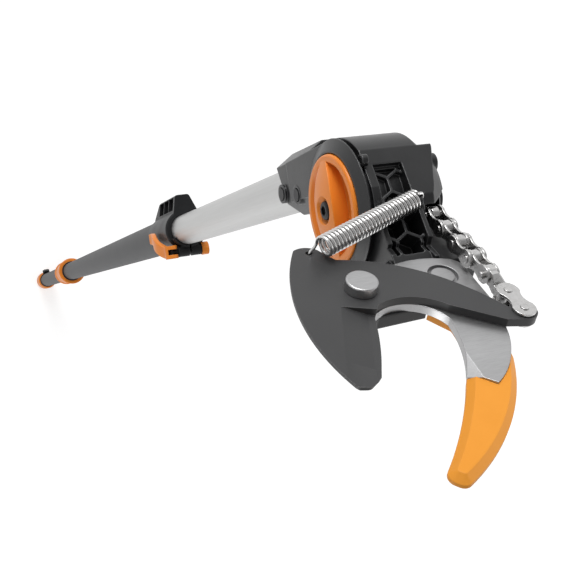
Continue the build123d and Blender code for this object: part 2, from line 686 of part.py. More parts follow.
def strap_wrap():
    """Turn of strap that lies on the drum, from the tangent point over the top."""
    inner = DRUM_R + SEAT_GAP
    wide = STRAP_WIDTH / 2
    ring = y_cyl(inner + STRAP_THICKNESS, -wide, wide) - y_cyl(inner, -wide - 1, wide + 1)
    gap = block((-40, 0), (-wide - 1, wide + 1), (-40, 0))
    return SWIVEL * (ring - gap)


STRAP_END_DROP = 9.0
CHAIN_HALF = ROLLER_WIDTH / 2 + 2 * PLATE_T + 0.6


# Head housing

def slope_z(x):
    return CREASE_Z - (x - CREASE_X) * math.tan(SLOPE_ANGLE)


def above_slope(depth):
    """Everything in front of the sloping face, sunk by depth."""
    along = Vector(math.cos(SLOPE_ANGLE), 0, -math.sin(SLOPE_ANGLE))
    normal = Vector(math.sin(SLOPE_ANGLE), 0, math.cos(SLOPE_ANGLE))
    origin = Vector(CREASE_X, 0, CREASE_Z) - normal * depth
    return Plane(origin=origin, x_dir=along, z_dir=normal).location


def front_cut():
    length = math.hypot(SLOPE_FOOT_X - CREASE_X, CREASE_Z - SLOPE_FOOT_Z)
    return above_slope(0) * block((0, length), (-60, 60), (0, 40))


def hood():
    """Round drum chamber with a flat sloping front and a shoulder down to the cover."""
    body = y_cyl(HOUSING_R, HOUSING_LEFT_Y, HOUSING_SHOULDER_Y)
    body += y_cone(HOUSING_R, COVER_R, HOUSING_SHOULDER_Y, HOUSING_RIGHT_Y)
    return body - front_cut()


def wedge():
    front = SLOPE_FOOT_X
    under = [(front, BRACKET_BOTTOM), (12, -HOUSING_R + 3), (0, -HOUSING_R + 6), (0, CREASE_Z - 8)]
    left = prism_y([(CREASE_X, CREASE_Z), (front, SLOPE_FOOT_Z)] + under, HOUSING_LEFT_Y, TROUGH_LEFT_Y)
    lip = [(CREASE_X, CREASE_Z), (MOUTH_X, slope_z(MOUTH_X)), (MOUTH_X, 0), (0, 0)]
    right = prism_y(lip, TROUGH_LEFT_Y, HOUSING_RIGHT_Y - 0.5)
    right -= prism_z([(CREASE_X, HOUSING_RIGHT_Y), (MOUTH_X + 1, 11.5), (MOUTH_X + 1, 40), (CREASE_X, 40)], 16, 60)
    side = TROUGH_RIGHT_Y + SIDE_WALL
    deck = [(0, TROUGH_FLOOR), (front + 1.8, TROUGH_FLOOR), (front + 1.8, BRACKET_BOTTOM)]
    deck = prism_y(deck + [(12, -HOUSING_R + 8), (0, -HOUSING_R + 10)], TROUGH_LEFT_Y, side)
    deck -= prism_z([(28, side + 1), (28, side - 2), (front + 6, side - 5), (front + 6, side + 1)], -60, 60)
    wall = prism_y([(-4, 0), (-4, 20), (14, 12), (28, TROUGH_FLOOR), (28, 0)], TROUGH_RIGHT_Y, side)
    return left + right + deck + wall


def bracket_plate():
    edges = [
        Line(jaw(-26.2, 29.2), jaw(-26.2, 74)),
        Line(jaw(-26.2, 74), jaw(-15, 72)),
        Line(jaw(-15, 72), jaw(3.6, 55)),
        Line(jaw(3.6, 55), jaw(8.0, 30.2)),
        Line(jaw(8.0, 30.2), jaw(10.2, 29.8)),
        Line(jaw(10.2, 29.8), jaw(11.2, 5)),
        ThreePointArc(jaw(11.2, 5), jaw(2, -12.5), jaw(-12, -4)),
        ThreePointArc(jaw(-12, -4), jaw(-19, 16), jaw(-26.2, 29.2)),
    ]
    return plate_z(edges, BRACKET_BOTTOM, SEAT_Z)


def hex_pockets():
    """Honeycomb of pockets sunk square to the sloping front, left of the spring rib."""
    pitch = HEX_FLATS + HEX_RIB
    row = pitch * math.sqrt(3) / 2
    length = math.hypot(SLOPE_FOOT_X - CREASE_X, CREASE_Z - SLOPE_FOOT_Z)
    right = TROUGH_LEFT_Y - RIB_T
    cells = Part()
    middle = (HOUSING_LEFT_Y + TROUGH_LEFT_Y) / 2 + 0.5
    for i in range(5):
        s = 7.3 + i * row
        for j in (-1, 0, 1):
            y = middle + j * pitch + (i % 2) * pitch / 2
            cells += Pos(s, y, -HEX_DEPTH) * extrude(
                RegularPolygon(HEX_FLATS / 2, 6, major_radius=False), amount=HEX_DEPTH + 5)
    cells &= block((10, length - 4), (HOUSING_LEFT_Y + 2.5, right), (-30, 30))
    cells += block((8.5, length + 2), (HOUSING_LEFT_Y - 1, right), (-HEX_RECESS, 10))
    return above_slope(0) * cells


def liner():
    """Round inner wall that closes the drum chamber behind the honeycomb."""
    wall = y_cyl(COUNTERBORE_R + LINER_WALL, HOUSING_LEFT_Y, COUNTERBORE_STEP_Y + LINER_WALL)
    wall += y_cyl(CHAMBER_R + LINER_WALL, COUNTERBORE_STEP_Y, TROUGH_LEFT_Y)
    return wall - front_cut()


def spring_lug():
    x, y, z = SPRING_ANCHOR
    half = RIB_T / 2
    return y_cyl(3.2, y - half, y + half, x, z) + block((x - 3.2, x + 3.2), (y - half, y + half), (z - 8, z))


def drum_chamber():
    left = y_cyl(CHAMBER_R, CAVITY_LEFT_Y, HOUSING_SHOULDER_Y)
    right = y_cyl(HUB_ROOM_R, CAVITY_LEFT_Y, HOUSING_RIGHT_Y + 1)
    chain_way = block((-60, MOUTH_X + 60), (CHAIN_Y - CHAIN_HALF - 1.0, TROUGH_RIGHT_Y), CHAIN_ROOM)
    return left + right + chain_way


def strap_way():
    """Sector open towards the pole for the strap, over the whole swivel range."""
    reach = 70.0
    first, last = math.radians(118), math.radians(262)
    half = STRAP_WIDTH / 2 + 2.5
    points = [
        (0, 0), (reach * math.cos(first), reach * math.sin(first)), (-reach, reach),
        (-reach, -reach), (reach * math.cos(last), reach * math.sin(last)),
    ]
    way = prism_y(points, -half, half)
    inside = math.radians(88)
    points = [
        (0, 0), (reach * math.cos(inside), reach * math.sin(inside)),
        (reach * math.cos(first), reach * math.sin(first)),
    ]
    return way + (prism_y(points, -half, half) & y_cyl(HOUSING_R - 1.5, -half, half))


def blade_sweep():
    """Room at the foot of the slope for the lever side of the blade when the jaws are shut."""
    plate = plate_z(blade_edges(), BLADE_BOTTOM - ROTATE_GAP, BLADE_TOP + 6)
    room = Part()
    for extra in (0, 0.8, 1.6):
        turn = Pos(PIVOT_X, PIVOT_Y, 0) * Rot(0, 0, BLADE_SWING + extra) * Pos(-PIVOT_X, -PIVOT_Y, 0)
        room += turn * plate
    return room


def head_housing():
    body = hood() + wedge() - hex_pockets()
    body += liner() + spring_lug() + bracket_plate()
    body += y_cyl(3.0, HOUSING_LEFT_Y - 1.8, HOUSING_LEFT_Y + 1.4, *CREASE_BOSS)
    body -= drum_chamber() + strap_way()
    body -= blade_sweep()
    body -= y_cyl(COUNTERBORE_R, HOUSING_LEFT_Y - 1, COUNTERBORE_STEP_Y)
    body -= y_cyl(EAR_HUB_R + ROTATE_GAP, HOUSING_LEFT_Y - 1, COUNTERBORE_Y)
    body -= y_cyl(COVER_R, HOUSING_RIGHT_Y, 60)
    body -= y_cyl(1.6, HOUSING_LEFT_Y - 4, HOUSING_LEFT_Y + 3, *CREASE_BOSS)
    body -= y_cyl(SWIVEL_R + RUN_GAP, -40, 60)
    body -= z_cyl(PIVOT_D / 2 + SEAT_GAP, -40, 10, PIVOT_X, PIVOT_Y)
    body -= z_cyl(PLATE_SCREW_D / 2 + SEAT_GAP, -40, 10, *PLATE_SCREW)
    x, y, z = SPRING_ANCHOR
    body -= y_cyl(SPRING_WIRE / 2 + 0.9, y - 6, y + 6, x, z)
    for x, z in COVER_SCREWS:
        body -= y_cyl(SMALL_SCREW_D / 2 + SEAT_GAP, HOUSING_RIGHT_Y - 12, HOUSING_RIGHT_Y + 1, x, z)
    return body


def head_cover():
    low, mid = HOUSING_RIGHT_Y, TROUGH_RIGHT_Y
    shell = turned_y(
        [(0, low), (COVER_R - 0.5, low), (COVER_R - 2.5, low + 2.5), (19, mid), (15, COVER_END_Y - 1.5),
         (13.5, COVER_END_Y), (0, COVER_END_Y)])
    shell -= y_cyl(HUB_ROOM_R - 1.5, low - 1, mid)
    for x, z in COVER_SCREWS:
        shell += y_cyl(SMALL_HEAD_D / 2 + 1.4, low, low + 5, x, z)
    shell -= block((-60, 60), (0, TROUGH_RIGHT_Y), CHAIN_ROOM)
    shell -= y_cyl(SWIVEL_R + RUN_GAP, -40, 60)
    for x, z in COVER_SCREWS:
        shell -= y_cyl(SMALL_SCREW_D / 2 + SEAT_GAP, low - 1, low + 9, x, z)
        shell -= y_cyl(SMALL_HEAD_D / 2 + 0.3, low + 3, low + 9, x, z)
    return shell


COVER_SCREW_R = COVER_R - 5.6
COVER_SCREWS = [
    (COVER_SCREW_R * math.cos(math.radians(turn)), COVER_SCREW_R * math.sin(math.radians(turn)))
    for turn in (83, -45, 225)
]
CREASE_BOSS = (CREASE_X + 6.3, slope_z(CREASE_X + 6.3) + 1.65)
PLATE_SCREW = (71.0, -5.6)
ANCHOR_X = MOUTH_X + 6.8
SPRING_ANCHOR = (ANCHOR_X, TROUGH_LEFT_Y - RIB_T / 2, slope_z(ANCHOR_X) + 0.13)
CHAMBER_R = DRUM_R + STRAP_THICKNESS + DRUM_FLANGE + 1.4
CHAIN_ROOM = (TROUGH_FLOOR, CHAIN_LINE + PLATE_HEIGHT / 2 + 2)


def cover_screws():
    return [
        y_screw(x, z, HOUSING_RIGHT_Y + 3, 12, -1, SMALL_SCREW_D, SMALL_HEAD_D)
        for x, z in COVER_SCREWS
    ]


# Jaws

def blade_edges():
    r = LEVER_END_R
    near = (LEVER_X - 0.55 * r, LEVER_Y - 0.835 * r)
    far = (LEVER_X + 0.1 * r, LEVER_Y + 0.995 * r)
    low = (LEVER_X + 0.97 * r, LEVER_Y - 0.243 * r)
    return [
        ThreePointArc(jaw(-33.4, -18.0), jaw(-34.6, -12.5), jaw(-31.6, -6.8)),
        ThreePointArc(jaw(-31.6, -6.8), jaw(-27.0, -4.4), jaw(-22.4, -1.6)),
        ThreePointArc(jaw(-22.4, -1.6), jaw(-13.2, 21.6), jaw(5.0, 43.4)),
        ThreePointArc(jaw(5.0, 43.4), jaw(16.6, 51.9), jaw(*near)),
        ThreePointArc(jaw(*near), jaw(*far), jaw(*low)),
        Line(jaw(*low), jaw(35.2, 53.2)),
        Line(jaw(35.2, 53.2), jaw(19.6, 33.0)),
        ThreePointArc(jaw(19.6, 33.0), jaw(9.8, 14.0), jaw(11.8, 2.6)),
        Line(jaw(11.8, 2.6), jaw(16.0, -0.4)),
        ThreePointArc(jaw(16.0, -0.4), jaw(33.0, -6.4), jaw(51.7, -15.8)),
        Line(jaw(51.7, -15.8), jaw(56.0, -22.6)),
        Line(jaw(56.0, -22.6), jaw(54.8, -27.2)),
        ThreePointArc(jaw(54.8, -27.2), jaw(23.0, -33.4), jaw(-10.8, -28.4)),
        ThreePointArc(jaw(-10.8, -28.4), jaw(-24.0, -23.2), jaw(-33.4, -18.0)),
    ]


def blade_bevel():
    """Ground facet along the cutting edge, with a square heel and a sloping toe."""
    heel = Vector(*jaw(13.5, -1.5), 0)
    toe = Vector(*jaw(50.0, -15.5), 0)
    along = (toe - heel).normalized()
    across = Vector(along.Y, -along.X, 0)
    length = (toe - heel).length
    width = 13.0
    top = BLADE_TOP + 2
    edge = BLADE_BOTTOM + 0.6

    def cut(reach, low, side):
        plane = Plane(origin=heel + along * reach, x_dir=across, z_dir=along)
        points = [(-5, -low), (-5, -top), (width + side, -top), (width + side, -BLADE_TOP), (1, -low)]
        return plane * make_face(Polyline(*points, close=True))

    main = loft([cut(0, edge, 0), cut(length * 0.86, edge, 0)], ruled=True)
    toe_cut = loft([cut(length * 0.86, edge, 0), cut(length * 1.2, BLADE_TOP - 0.4, 0)], ruled=True)
    return main + toe_cut


def blade():
    body = plate_z(blade_edges(), BLADE_BOTTOM, BLADE_TOP)
    body = fillet(body.edges().filter_by(Axis.Z).sort_by(Axis.X)[-2:], BLADE_TOE_R)
    rim = body.faces().sort_by(Axis.Z)[0].edges()
    back = [e for e in rim if e.length > 15 and e.center().Y < PIVOT_Y - 20]
    body = chamfer(back, BLADE_RELIEF) - blade_bevel()
    body -= z_cyl(PIVOT_D / 2 + RUN_GAP, 0, 30, PIVOT_X, PIVOT_Y)
    body -= z_cyl(SPRING_WIRE / 2 + 1.0, 0, 30, *SPRING_HOLE)
    return body - z_cyl(LEVER_PIN_D / 2 + RUN_GAP, 0, 30, *LEVER_PIN)


def counter_edges():
    return [
        ThreePointArc(jaw(-17.7, 26.1), jaw(-18.9, 40), jaw(-15.4, 54.4)),
        ThreePointArc(jaw(-15.4, 54.4), jaw(-12.2, 58.0), jaw(-6.0, 58.8)),
        Line(jaw(-6.0, 58.8), jaw(26.0, 57.4)),
        Line(jaw(26.0, 57.4), jaw(36.0, 52.9)),
        ThreePointArc(jaw(36.0, 52.9), jaw(43.2, 50.0), jaw(49.6, 46.0)),
        ThreePointArc(jaw(49.6, 46.0), jaw(57.6, 39.0), jaw(63.7, 30.4)),
        Line(jaw(63.7, 30.4), jaw(55.1, 21.6)),
        ThreePointArc(jaw(55.1, 21.6), jaw(40.0, 28.6), jaw(23.9, 31.9)),
        ThreePointArc(jaw(23.9, 31.9), jaw(9.6, 14.0), jaw(12.9, 2.4)),
        ThreePointArc(jaw(12.9, 2.4), jaw(2.0, -11.0), jaw(-11.0, -2.0)),
        ThreePointArc(jaw(-11.0, -2.0), jaw(-15.6, 12.0), jaw(-17.7, 26.1)),
    ]


def counter_facet():
    """Ground facet at the hook end of the counter blade."""
    start = Vector(*jaw(43.5, 27.2), COUNTER_TOP)
    end = Vector(*jaw(59.6, 26.2), COUNTER_TOP)
    edge = Vector(*jaw(55.1, 21.6), COUNTER_TOP - COUNTER_T * 0.8)
    normal = (end - start).cross(edge - start).normalized()
    if normal.Z < 0:
        normal = normal * -1
    plane = Plane(origin=start, x_dir=end - start, z_dir=normal)
    hook_end = block((start.X - 2, start.X + 60), (PIVOT_Y, PIVOT_Y + 60), (-20, 20))
    return (plane * (Pos(0, 0, 20) * Box(120, 120, 40))) & hook_end


def counter_blade():
    body = plate_z(counter_edges(), SEAT_Z, COUNTER_TOP) - counter_facet()
    body -= z_cyl(PIVOT_D / 2 + SEAT_GAP, 0, 30, PIVOT_X, PIVOT_Y)
    body -= z_cyl(PLATE_SCREW_D / 2 + SEAT_GAP, 0, 30, *PLATE_SCREW)
    body -= z_cyl(7.2, COUNTER_TOP - 2.4, 30, *PLATE_SCREW)
    for x, y in HOOK_SCREWS:
        body -= z_cyl(SMALL_SCREW_D / 2 + SEAT_GAP, 0, COUNTER_TOP - 1.5, x, y)
    return body


HOOK_SCREWS = [jaw(20.0, 43.0), jaw(40.0, 40.0)]


def hook_edges():
    return [
        Line(jaw(8.4, 30.8), jaw(4.0, 54.6)),
        Line(jaw(4.0, 54.6), jaw(34.0, 51.6)),
        ThreePointArc(jaw(34.0, 51.6), jaw(42.0, 50.4), jaw(50.0, 48.2)),
        ThreePointArc(jaw(50.0, 48.2), jaw(79.4, 27.4), jaw(102.6, -7.0)),
        Line(jaw(102.6, -7.0), jaw(96.6, -12.8)),
        ThreePointArc(jaw(96.6, -12.8), jaw(80.0, 3.6), jaw(57.2, 20.6)),
        ThreePointArc(jaw(57.2, 20.6), jaw(39.0, 30.0), jaw(19.6, 32.3)),
        Line(jaw(19.6, 32.3), jaw(13.2, 28.2)),
        Line(jaw(13.2, 28.2), jaw(10.8, 30.6)),
        Line(jaw(10.8, 30.6), jaw(8.4, 30.8)),
    ]


def bare_rim(body, top):
    """Edges round the bare part of the hook, on its top or its bottom face."""
    face = body.faces().sort_by(Axis.Z)[-1 if top else 0]
    return [e for e in face.edges() if e.center().X > PIVOT_X + 68]


def hook():
    low, high = SEAT_Z - HOOK_BELOW, SEAT_Z + HOOK_ABOVE
    outline = make_face(hook_edges())
    outline = fillet(outline.vertices().sort_by(Axis.X)[-2:], HOOK_TIP_R)
    body = Pos(0, 0, low) * extrude(outline, amount=high - low, dir=(0, 0, 1))
    upper = bare_rim(body, True)
    inner = min(upper, key=lambda e: e.center().X)
    outer = [e for e in upper if (e.center() - inner.center()).length > 1]
    body = chamfer(outer, HOOK_CHAMFER)
    body = chamfer(bare_rim(body, False), HOOK_UNDERCUT)
    seat = plate_z(counter_edges(), SEAT_Z, SEAT_Z + 20)
    body -= seat
    root = prism_z([jaw(-10, 70), jaw(-10, 20), jaw(30, 20), jaw(50, 46.4), jaw(36, 70)], SEAT_Z, SEAT_Z + 20)
    body -= root
    for x, y in HOOK_SCREWS:
        body -= z_cyl(SMALL_SCREW_D / 2 + SEAT_GAP, -40, 20, x, y)
        body -= z_cyl(SMALL_HEAD_D / 2 + 0.4, -40, low + 2.4, x, y)
    return body


def hook_screws():
    low = SEAT_Z - HOOK_BELOW + 2.4
    screws = []
    for x, y in HOOK_SCREWS:
        shank = z_cyl(SMALL_SCREW_D / 2, low, COUNTER_TOP - 1.6, x, y)
        screws.append(shank + z_cyl(SMALL_HEAD_D / 2, low - 2.3, low, x, y))
    return screws


def plate_screw():
    low = BRACKET_BOTTOM - 3.4
    shank = z_cyl(PLATE_SCREW_D / 2, low, COUNTER_TOP - 2.4, *PLATE_SCREW)
    head = z_cyl(5.6, COUNTER_TOP - 2.4, COUNTER_TOP - 0.3, *PLATE_SCREW)
    nut = Pos(*PLATE_SCREW, low) * extrude(RegularPolygon(5.2, 6), amount=3.4 - SEAT_GAP)
    return head + shank + nut


def pivot_bolt():
    low = BRACKET_BOTTOM - 8
    shank = z_cyl(PIVOT_D / 2, low, BLADE_TOP + 1, PIVOT_X, PIVOT_Y)
    seat = BLADE_TOP + BLADE_GAP
    head = z_cyl(PIVOT_HEAD_D / 2, seat, seat + PIVOT_HEAD_H, PIVOT_X, PIVOT_Y)
    head = fillet(head.faces().sort_by(Axis.Z)[-1].edges(), 0.8)
    return shank + head


def pivot_nut():
    low = BRACKET_BOTTOM - 7
    nut = Pos(PIVOT_X, PIVOT_Y, low) * extrude(RegularPolygon(7.5, 6), amount=7 - SEAT_GAP)
    return nut - z_cyl(PIVOT_D / 2 + SEAT_GAP, low - 1, BRACKET_BOTTOM + 1, PIVOT_X, PIVOT_Y)


# Return spring

def biarc(p0, t0, p1, t1):
    """Two tangent arcs from p0 to p1 that keep both end directions."""
    span = p1 - p0
    both = t0 + t1
    a = both.dot(both) - 4
    b = span.dot(both)
    d = (b - math.sqrt(b * b - a * span.dot(span))) / a
    q0 = p0 + t0 * d
    q1 = p1 - t1 * d
    mid = (q0 + q1) * 0.5
    return [TangentArc(p0, mid, tangent=t0), TangentArc(mid, p1, tangent=q1 - q0)]


SPRING_START = Vector(SPRING_HOLE[0] + 0.8, SPRING_HOLE[1] + 8.2, BLADE_TOP + 5.1)
SPRING_END = Vector(*SPRING_ANCHOR) + Vector(0.85, -3.0, 1.95)
SPRING_PHASE = 0.5


def spring_frame():
    """Direction of the coil and two directions square to it."""
    axis = (SPRING_END - SPRING_START).normalized()
    u = axis.cross(Vector(0, 0, 1)).normalized()
    v = axis.cross(u)
    return axis, u, v


def coil_radial(turn):
    axis, u, v = spring_frame()
    angle = 2 * math.pi * (turn + SPRING_PHASE)
    return u * math.cos(angle) + v * math.sin(angle)


def coil_point(turn):
    rise = (SPRING_END - SPRING_START) * (turn / COIL_TURNS)
    return SPRING_START + rise + coil_radial(turn) * SPRING_R


def coil_direction(turn):
    swing = coil_radial(turn + 0.25) * (2 * math.pi * SPRING_R)
    return (swing + (SPRING_END - SPRING_START) / COIL_TURNS).normalized()


COIL_TURNS = SPRING_TURNS + 0.25


def spring_path():
    axis, u, v = spring_frame()
    up = v * -1
    hole = Vector(*SPRING_HOLE, BLADE_BOTTOM + BLADE_T / 2)
    edges = biarc(hole, Vector(0, 0, 1), coil_point(0), coil_direction(0))
    stops = [0.5 * i for i in range(2 * SPRING_TURNS + 1)] + [COIL_TURNS]
    for start, end in zip(stops, stops[1:]):
        edges += biarc(coil_point(start), coil_direction(start), coil_point(end), coil_direction(end))
    middle = SPRING_END + axis * (2.5 * SPRING_WIRE)
    crown = middle + up * SPRING_LOOP_R
    foot = middle - up * SPRING_LOOP_R
    edges += biarc(coil_point(COIL_TURNS), coil_direction(COIL_TURNS), crown, axis)
    edges.append(TangentArc(crown, foot, tangent=axis))
    edges.append(Line(foot, foot - axis * 1.6))
    return hole, edges


def spring_self_gap(edges):
    """Least room between one stretch of the wire and any other stretch, taken on points."""
    points = []
    run = 0.0
    for edge in edges:
        count = max(2, int(edge.length / 0.9))
        for i in range(count):
            points.append((run + edge.length * i / count, edge.position_at(i / count)))
        run += edge.length
    apart = 2 * math.pi * SPRING_R * 0.6
    least = 99.0
    for i, (a, p) in enumerate(points):
        for b, q in points[i + 1:i + 90]:
            if b - a > apart:
                least = min(least, (p - q).length)
    return least - SPRING_WIRE


def return_spring():
    hole, edges = spring_path()
    print("spring: least gap to itself %.2f mm" % spring_self_gap(edges))
    section = Plane(origin=hole, z_dir=(0, 0, 1)) * Circle(SPRING_WIRE / 2)
    return sweep(section, path=Wire(edges))


# Chain

def link_plate(x, y, thick):
    """Waisted link plate standing square to Y, from the pin at x to the next one."""
    r = PLATE_HEIGHT / 2
    pitch = CHAIN_PITCH
    ends = y_cyl(r, y, y + thick, x, CHAIN_LINE) + y_cyl(r, y, y + thick, x + pitch, CHAIN_LINE)
    bar = block((x, x + pitch), (y, y + thick), (CHAIN_LINE - r, CHAIN_LINE + r))
    waist_r = pitch * 0.62
    rise = waist_r + r * 0.66
    for side in (-1, 1):
        bar -= y_cyl(waist_r, y - 1, y + thick + 1, x + pitch / 2, CHAIN_LINE + side * rise)
    return ends + bar


def chain_xs():
    return [LAST_PIN_X - CHAIN_PITCH * i for i in range(CHAIN_PINS)]


def pin_holes(body):
    for x in chain_xs():
        body -= y_cyl(PIN_D / 2 + SEAT_GAP, CHAIN_Y - 20, CHAIN_Y + 20, x, CHAIN_LINE)
    return body


def plate_pair(x, inside):
    low = CHAIN_Y + inside
    other = CHAIN_Y - inside - PLATE_T
    return [pin_holes(link_plate(x, low, PLATE_T)), pin_holes(link_plate(x, other, PLATE_T))]


def chain_inner_plates():
    inside = ROLLER_WIDTH / 2 + SEAT_GAP
    plates = []
    for x in chain_xs()[1::2]:
        plates += plate_pair(x, inside)
    return plates


def chain_outer_plates():
    inside = ROLLER_WIDTH / 2 + PLATE_T + 2 * SEAT_GAP + 0.1
    plates = []
    for x in chain_xs()[2::2]:
        plates += plate_pair(x, inside)
    return plates


def chain_rollers():
    half = ROLLER_WIDTH / 2
    rollers = []
    for x in chain_xs()[1:]:
        ring = y_cyl(ROLLER_D / 2, CHAIN_Y - half, CHAIN_Y + half, x, CHAIN_LINE)
        rollers.append(pin_holes(ring))
    return rollers


def chain_pins():
    return [
        y_cyl(PIN_D / 2, CHAIN_Y - CHAIN_HALF, CHAIN_Y + CHAIN_HALF, x, CHAIN_LINE)
        for x in chain_xs()
    ]


def chain_connector():
    """Twisted link: an upright eye for the last chain pin and a flat eye for the end link."""
    half = ROLLER_WIDTH / 2
    r = PLATE_HEIGHT / 2
    tall = PLATE_HEIGHT * 0.8
    tongue = BLADE_T / 2
    twist_start = LAST_PIN_X + r + 0.4
    twist_end = CONNECTOR_X - r - 1.5
    eye = y_cyl(r, CHAIN_Y - half, CHAIN_Y + half, LAST_PIN_X, CHAIN_LINE)
    eye += block((LAST_PIN_X, twist_start), (CHAIN_Y - half, CHAIN_Y + half),
                 (CHAIN_LINE - tall / 2, CHAIN_LINE + tall / 2))
    flat = z_cyl(r, LINK_MID_Z - tongue, LINK_MID_Z + tongue, CONNECTOR_X, LINK_Y)
    flat += block((twist_end, CONNECTOR_X), (LINK_Y - tall / 2, LINK_Y + tall / 2),
                  (LINK_MID_Z - tongue, LINK_MID_Z + tongue))
    upright = Plane(origin=(twist_start, CHAIN_Y, CHAIN_LINE), x_dir=(0, 1, 0), z_dir=(1, 0, 0))
    level = Plane(origin=(twist_end, LINK_Y, LINK_MID_Z), x_dir=(0, 1, 0), z_dir=(1, 0, 0))
    twist = loft([upright * Rectangle(ROLLER_WIDTH, tall), level * Rectangle(tall, BLADE_T)], ruled=True)
    body = eye + twist + flat
    body -= z_cyl(LEVER_PIN_D / 2 + SEAT_GAP, -10, 40, CONNECTOR_X, LINK_Y)
    return pin_holes(body)


def end_link_plate(low):
    r = PLATE_HEIGHT / 2 + 1.1
    x0, x1 = CONNECTOR_X, LEVER_PIN[0]
    y0, y1 = LINK_Y, LEVER_PIN[1]
    ends = z_cyl(r, low, low + PLATE_T, x0, y0) + z_cyl(r, low, low + PLATE_T, x1, y1)
    bar = block((x0, x1), (y0 - r, y0 + r), (low, low + PLATE_T))
    for side in (-1, 1):
        bar -= z_cyl(CHAIN_PITCH * 0.6, low - 1, low + 3, (x0 + x1) / 2, y0 + side * (CHAIN_PITCH * 0.6 + r * 0.68))
    plate = ends + bar
    for x, y in ((x0, y0), (x1, y1)):
        plate -= z_cyl(LEVER_PIN_D / 2 + SEAT_GAP, low - 1, low + 3, x, y)
    return plate


def end_link():
    return [end_link_plate(BLADE_TOP + LINK_GAP), end_link_plate(BLADE_BOTTOM - LINK_GAP - PLATE_T)]


def end_link_pins():
    low = BLADE_BOTTOM - LINK_GAP - PLATE_T - 0.3
    high = BLADE_TOP + LINK_GAP + PLATE_T + 0.4
    return [
        z_cyl(LEVER_PIN_D / 2, low, high, CONNECTOR_X, LINK_Y),
        z_cyl(LEVER_PIN_D / 2, low, high, *LEVER_PIN),
    ]


POLE_NODES = {
    "lower_tube": lower_tube,
    "end_knob": end_knob,
    "end_pin": end_pin,
    "end_ring": end_ring,
    "end_catch": end_catch,
    "clamp_collar": clamp_collar,
    "pole_bush": pole_bush,
    "clamp_bolt": clamp_bolt,
    "clamp_nut": clamp_nut,
    "clamp_lever": clamp_lever,
    "upper_tube": upper_tube,
    "guide_sleeve": guide_sleeve,
    "neck_left": neck_left,
    "neck_right": neck_right,
    "neck_screws": neck_screws,
    "swivel_bolt": swivel_bolt,
    "lock_knob": lock_knob,
    "knob_screw": knob_screw,
    "handle_grip": handle_grip,
    "handle_wiper": handle_wiper,
    "carriage": carriage,
    "carriage_key": carriage_key,
    "pull_strap": pull_strap,
    "drum": drum,
    "strap_wrap": strap_wrap,
}

HEAD_NODES = {
    "head_housing": head_housing,
    "head_cover": head_cover,
    "cover_screws": cover_screws,
    "counter_blade": counter_blade,
    "plate_screw": plate_screw,
    "hook": hook,
    "hook_screws": hook_screws,
    "pivot_bolt": pivot_bolt,
    "pivot_nut": pivot_nut,
    "blade": blade,
    "return_spring": return_spring,
    "chain_inner_plates": chain_inner_plates,
    "chain_outer_plates": chain_outer_plates,
    "chain_rollers": chain_rollers,
    "chain_pins": chain_pins,
    "chain_connector": chain_connector,
    "end_link": end_link,
    "end_link_pins": end_link_pins,
}


def write_node(name, shape, place):
    """Write one node: a single solid, or a group of separate solids."""
    pieces = shape if isinstance(shape, list) else [shape]
    solids = [place * s for piece in pieces for s in piece.solids()]
    export_step(solids[0] if len(solids) == 1 else Compound(children=solids), "parts/%s.step" % name)


os.makedirs("parts", exist_ok=True)
for node, make in POLE_NODES.items():
    write_node(node, make(), Location())
for node, make in HEAD_NODES.items():
    write_node(node, make(), HEAD)
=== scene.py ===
# %% [markdown]
# Telescoping tree pruner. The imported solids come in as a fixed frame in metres: +Z runs up the
# pole and the head leans towards +X. Every finish and every new piece below is fitted to that
# frame, so nothing is moved.

# %% Load the frame
import math

import bmesh
import bpy
from mathutils import Matrix, Vector


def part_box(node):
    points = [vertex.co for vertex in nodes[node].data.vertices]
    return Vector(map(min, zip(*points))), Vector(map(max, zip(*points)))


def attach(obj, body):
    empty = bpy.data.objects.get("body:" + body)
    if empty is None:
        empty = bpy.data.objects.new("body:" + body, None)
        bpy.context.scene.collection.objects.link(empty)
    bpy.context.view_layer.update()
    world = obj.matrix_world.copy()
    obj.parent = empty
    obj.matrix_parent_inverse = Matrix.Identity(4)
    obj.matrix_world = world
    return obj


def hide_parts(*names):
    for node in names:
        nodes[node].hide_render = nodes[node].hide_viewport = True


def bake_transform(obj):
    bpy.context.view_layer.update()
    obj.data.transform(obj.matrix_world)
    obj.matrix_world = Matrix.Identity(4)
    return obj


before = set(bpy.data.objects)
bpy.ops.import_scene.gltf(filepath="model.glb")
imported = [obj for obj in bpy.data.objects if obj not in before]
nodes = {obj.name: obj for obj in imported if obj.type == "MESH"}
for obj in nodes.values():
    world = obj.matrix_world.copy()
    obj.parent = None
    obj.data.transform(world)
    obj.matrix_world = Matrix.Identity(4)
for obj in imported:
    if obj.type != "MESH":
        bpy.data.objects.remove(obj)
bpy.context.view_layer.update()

scene = bpy.context.scene
scene.view_settings.view_transform = "Standard"
print("pieces in the frame:", len(nodes))

# %% [markdown]
# The camera stands above the head and looks down along the pole, so the blades are near and the
# pole end is far. It could be aimed by turns about three axes or by a constraint that tracks a
# point. Here its place and its directions were worked out from straight edges of the object, and
# the lens from how fast the pole narrows. Building the matrix from the directions uses them as
# they are and avoids chains of rotations.

# %% Camera
EYE = Vector((0.0436954, -0.2035052, 2.678276))
FORWARD = Vector((0.0436, 0.3574, -0.9329)).normalized()
ROUGHLY_RIGHT = Vector((0.1479, 0.9212, 0.3599))
RIGHT = (ROUGHLY_RIGHT - FORWARD * ROUGHLY_RIGHT.dot(FORWARD)).normalized()
UP = RIGHT.cross(FORWARD)
LENS_MM = 50.0
SENSOR_MM = 36.0
NEAREST = 0.01

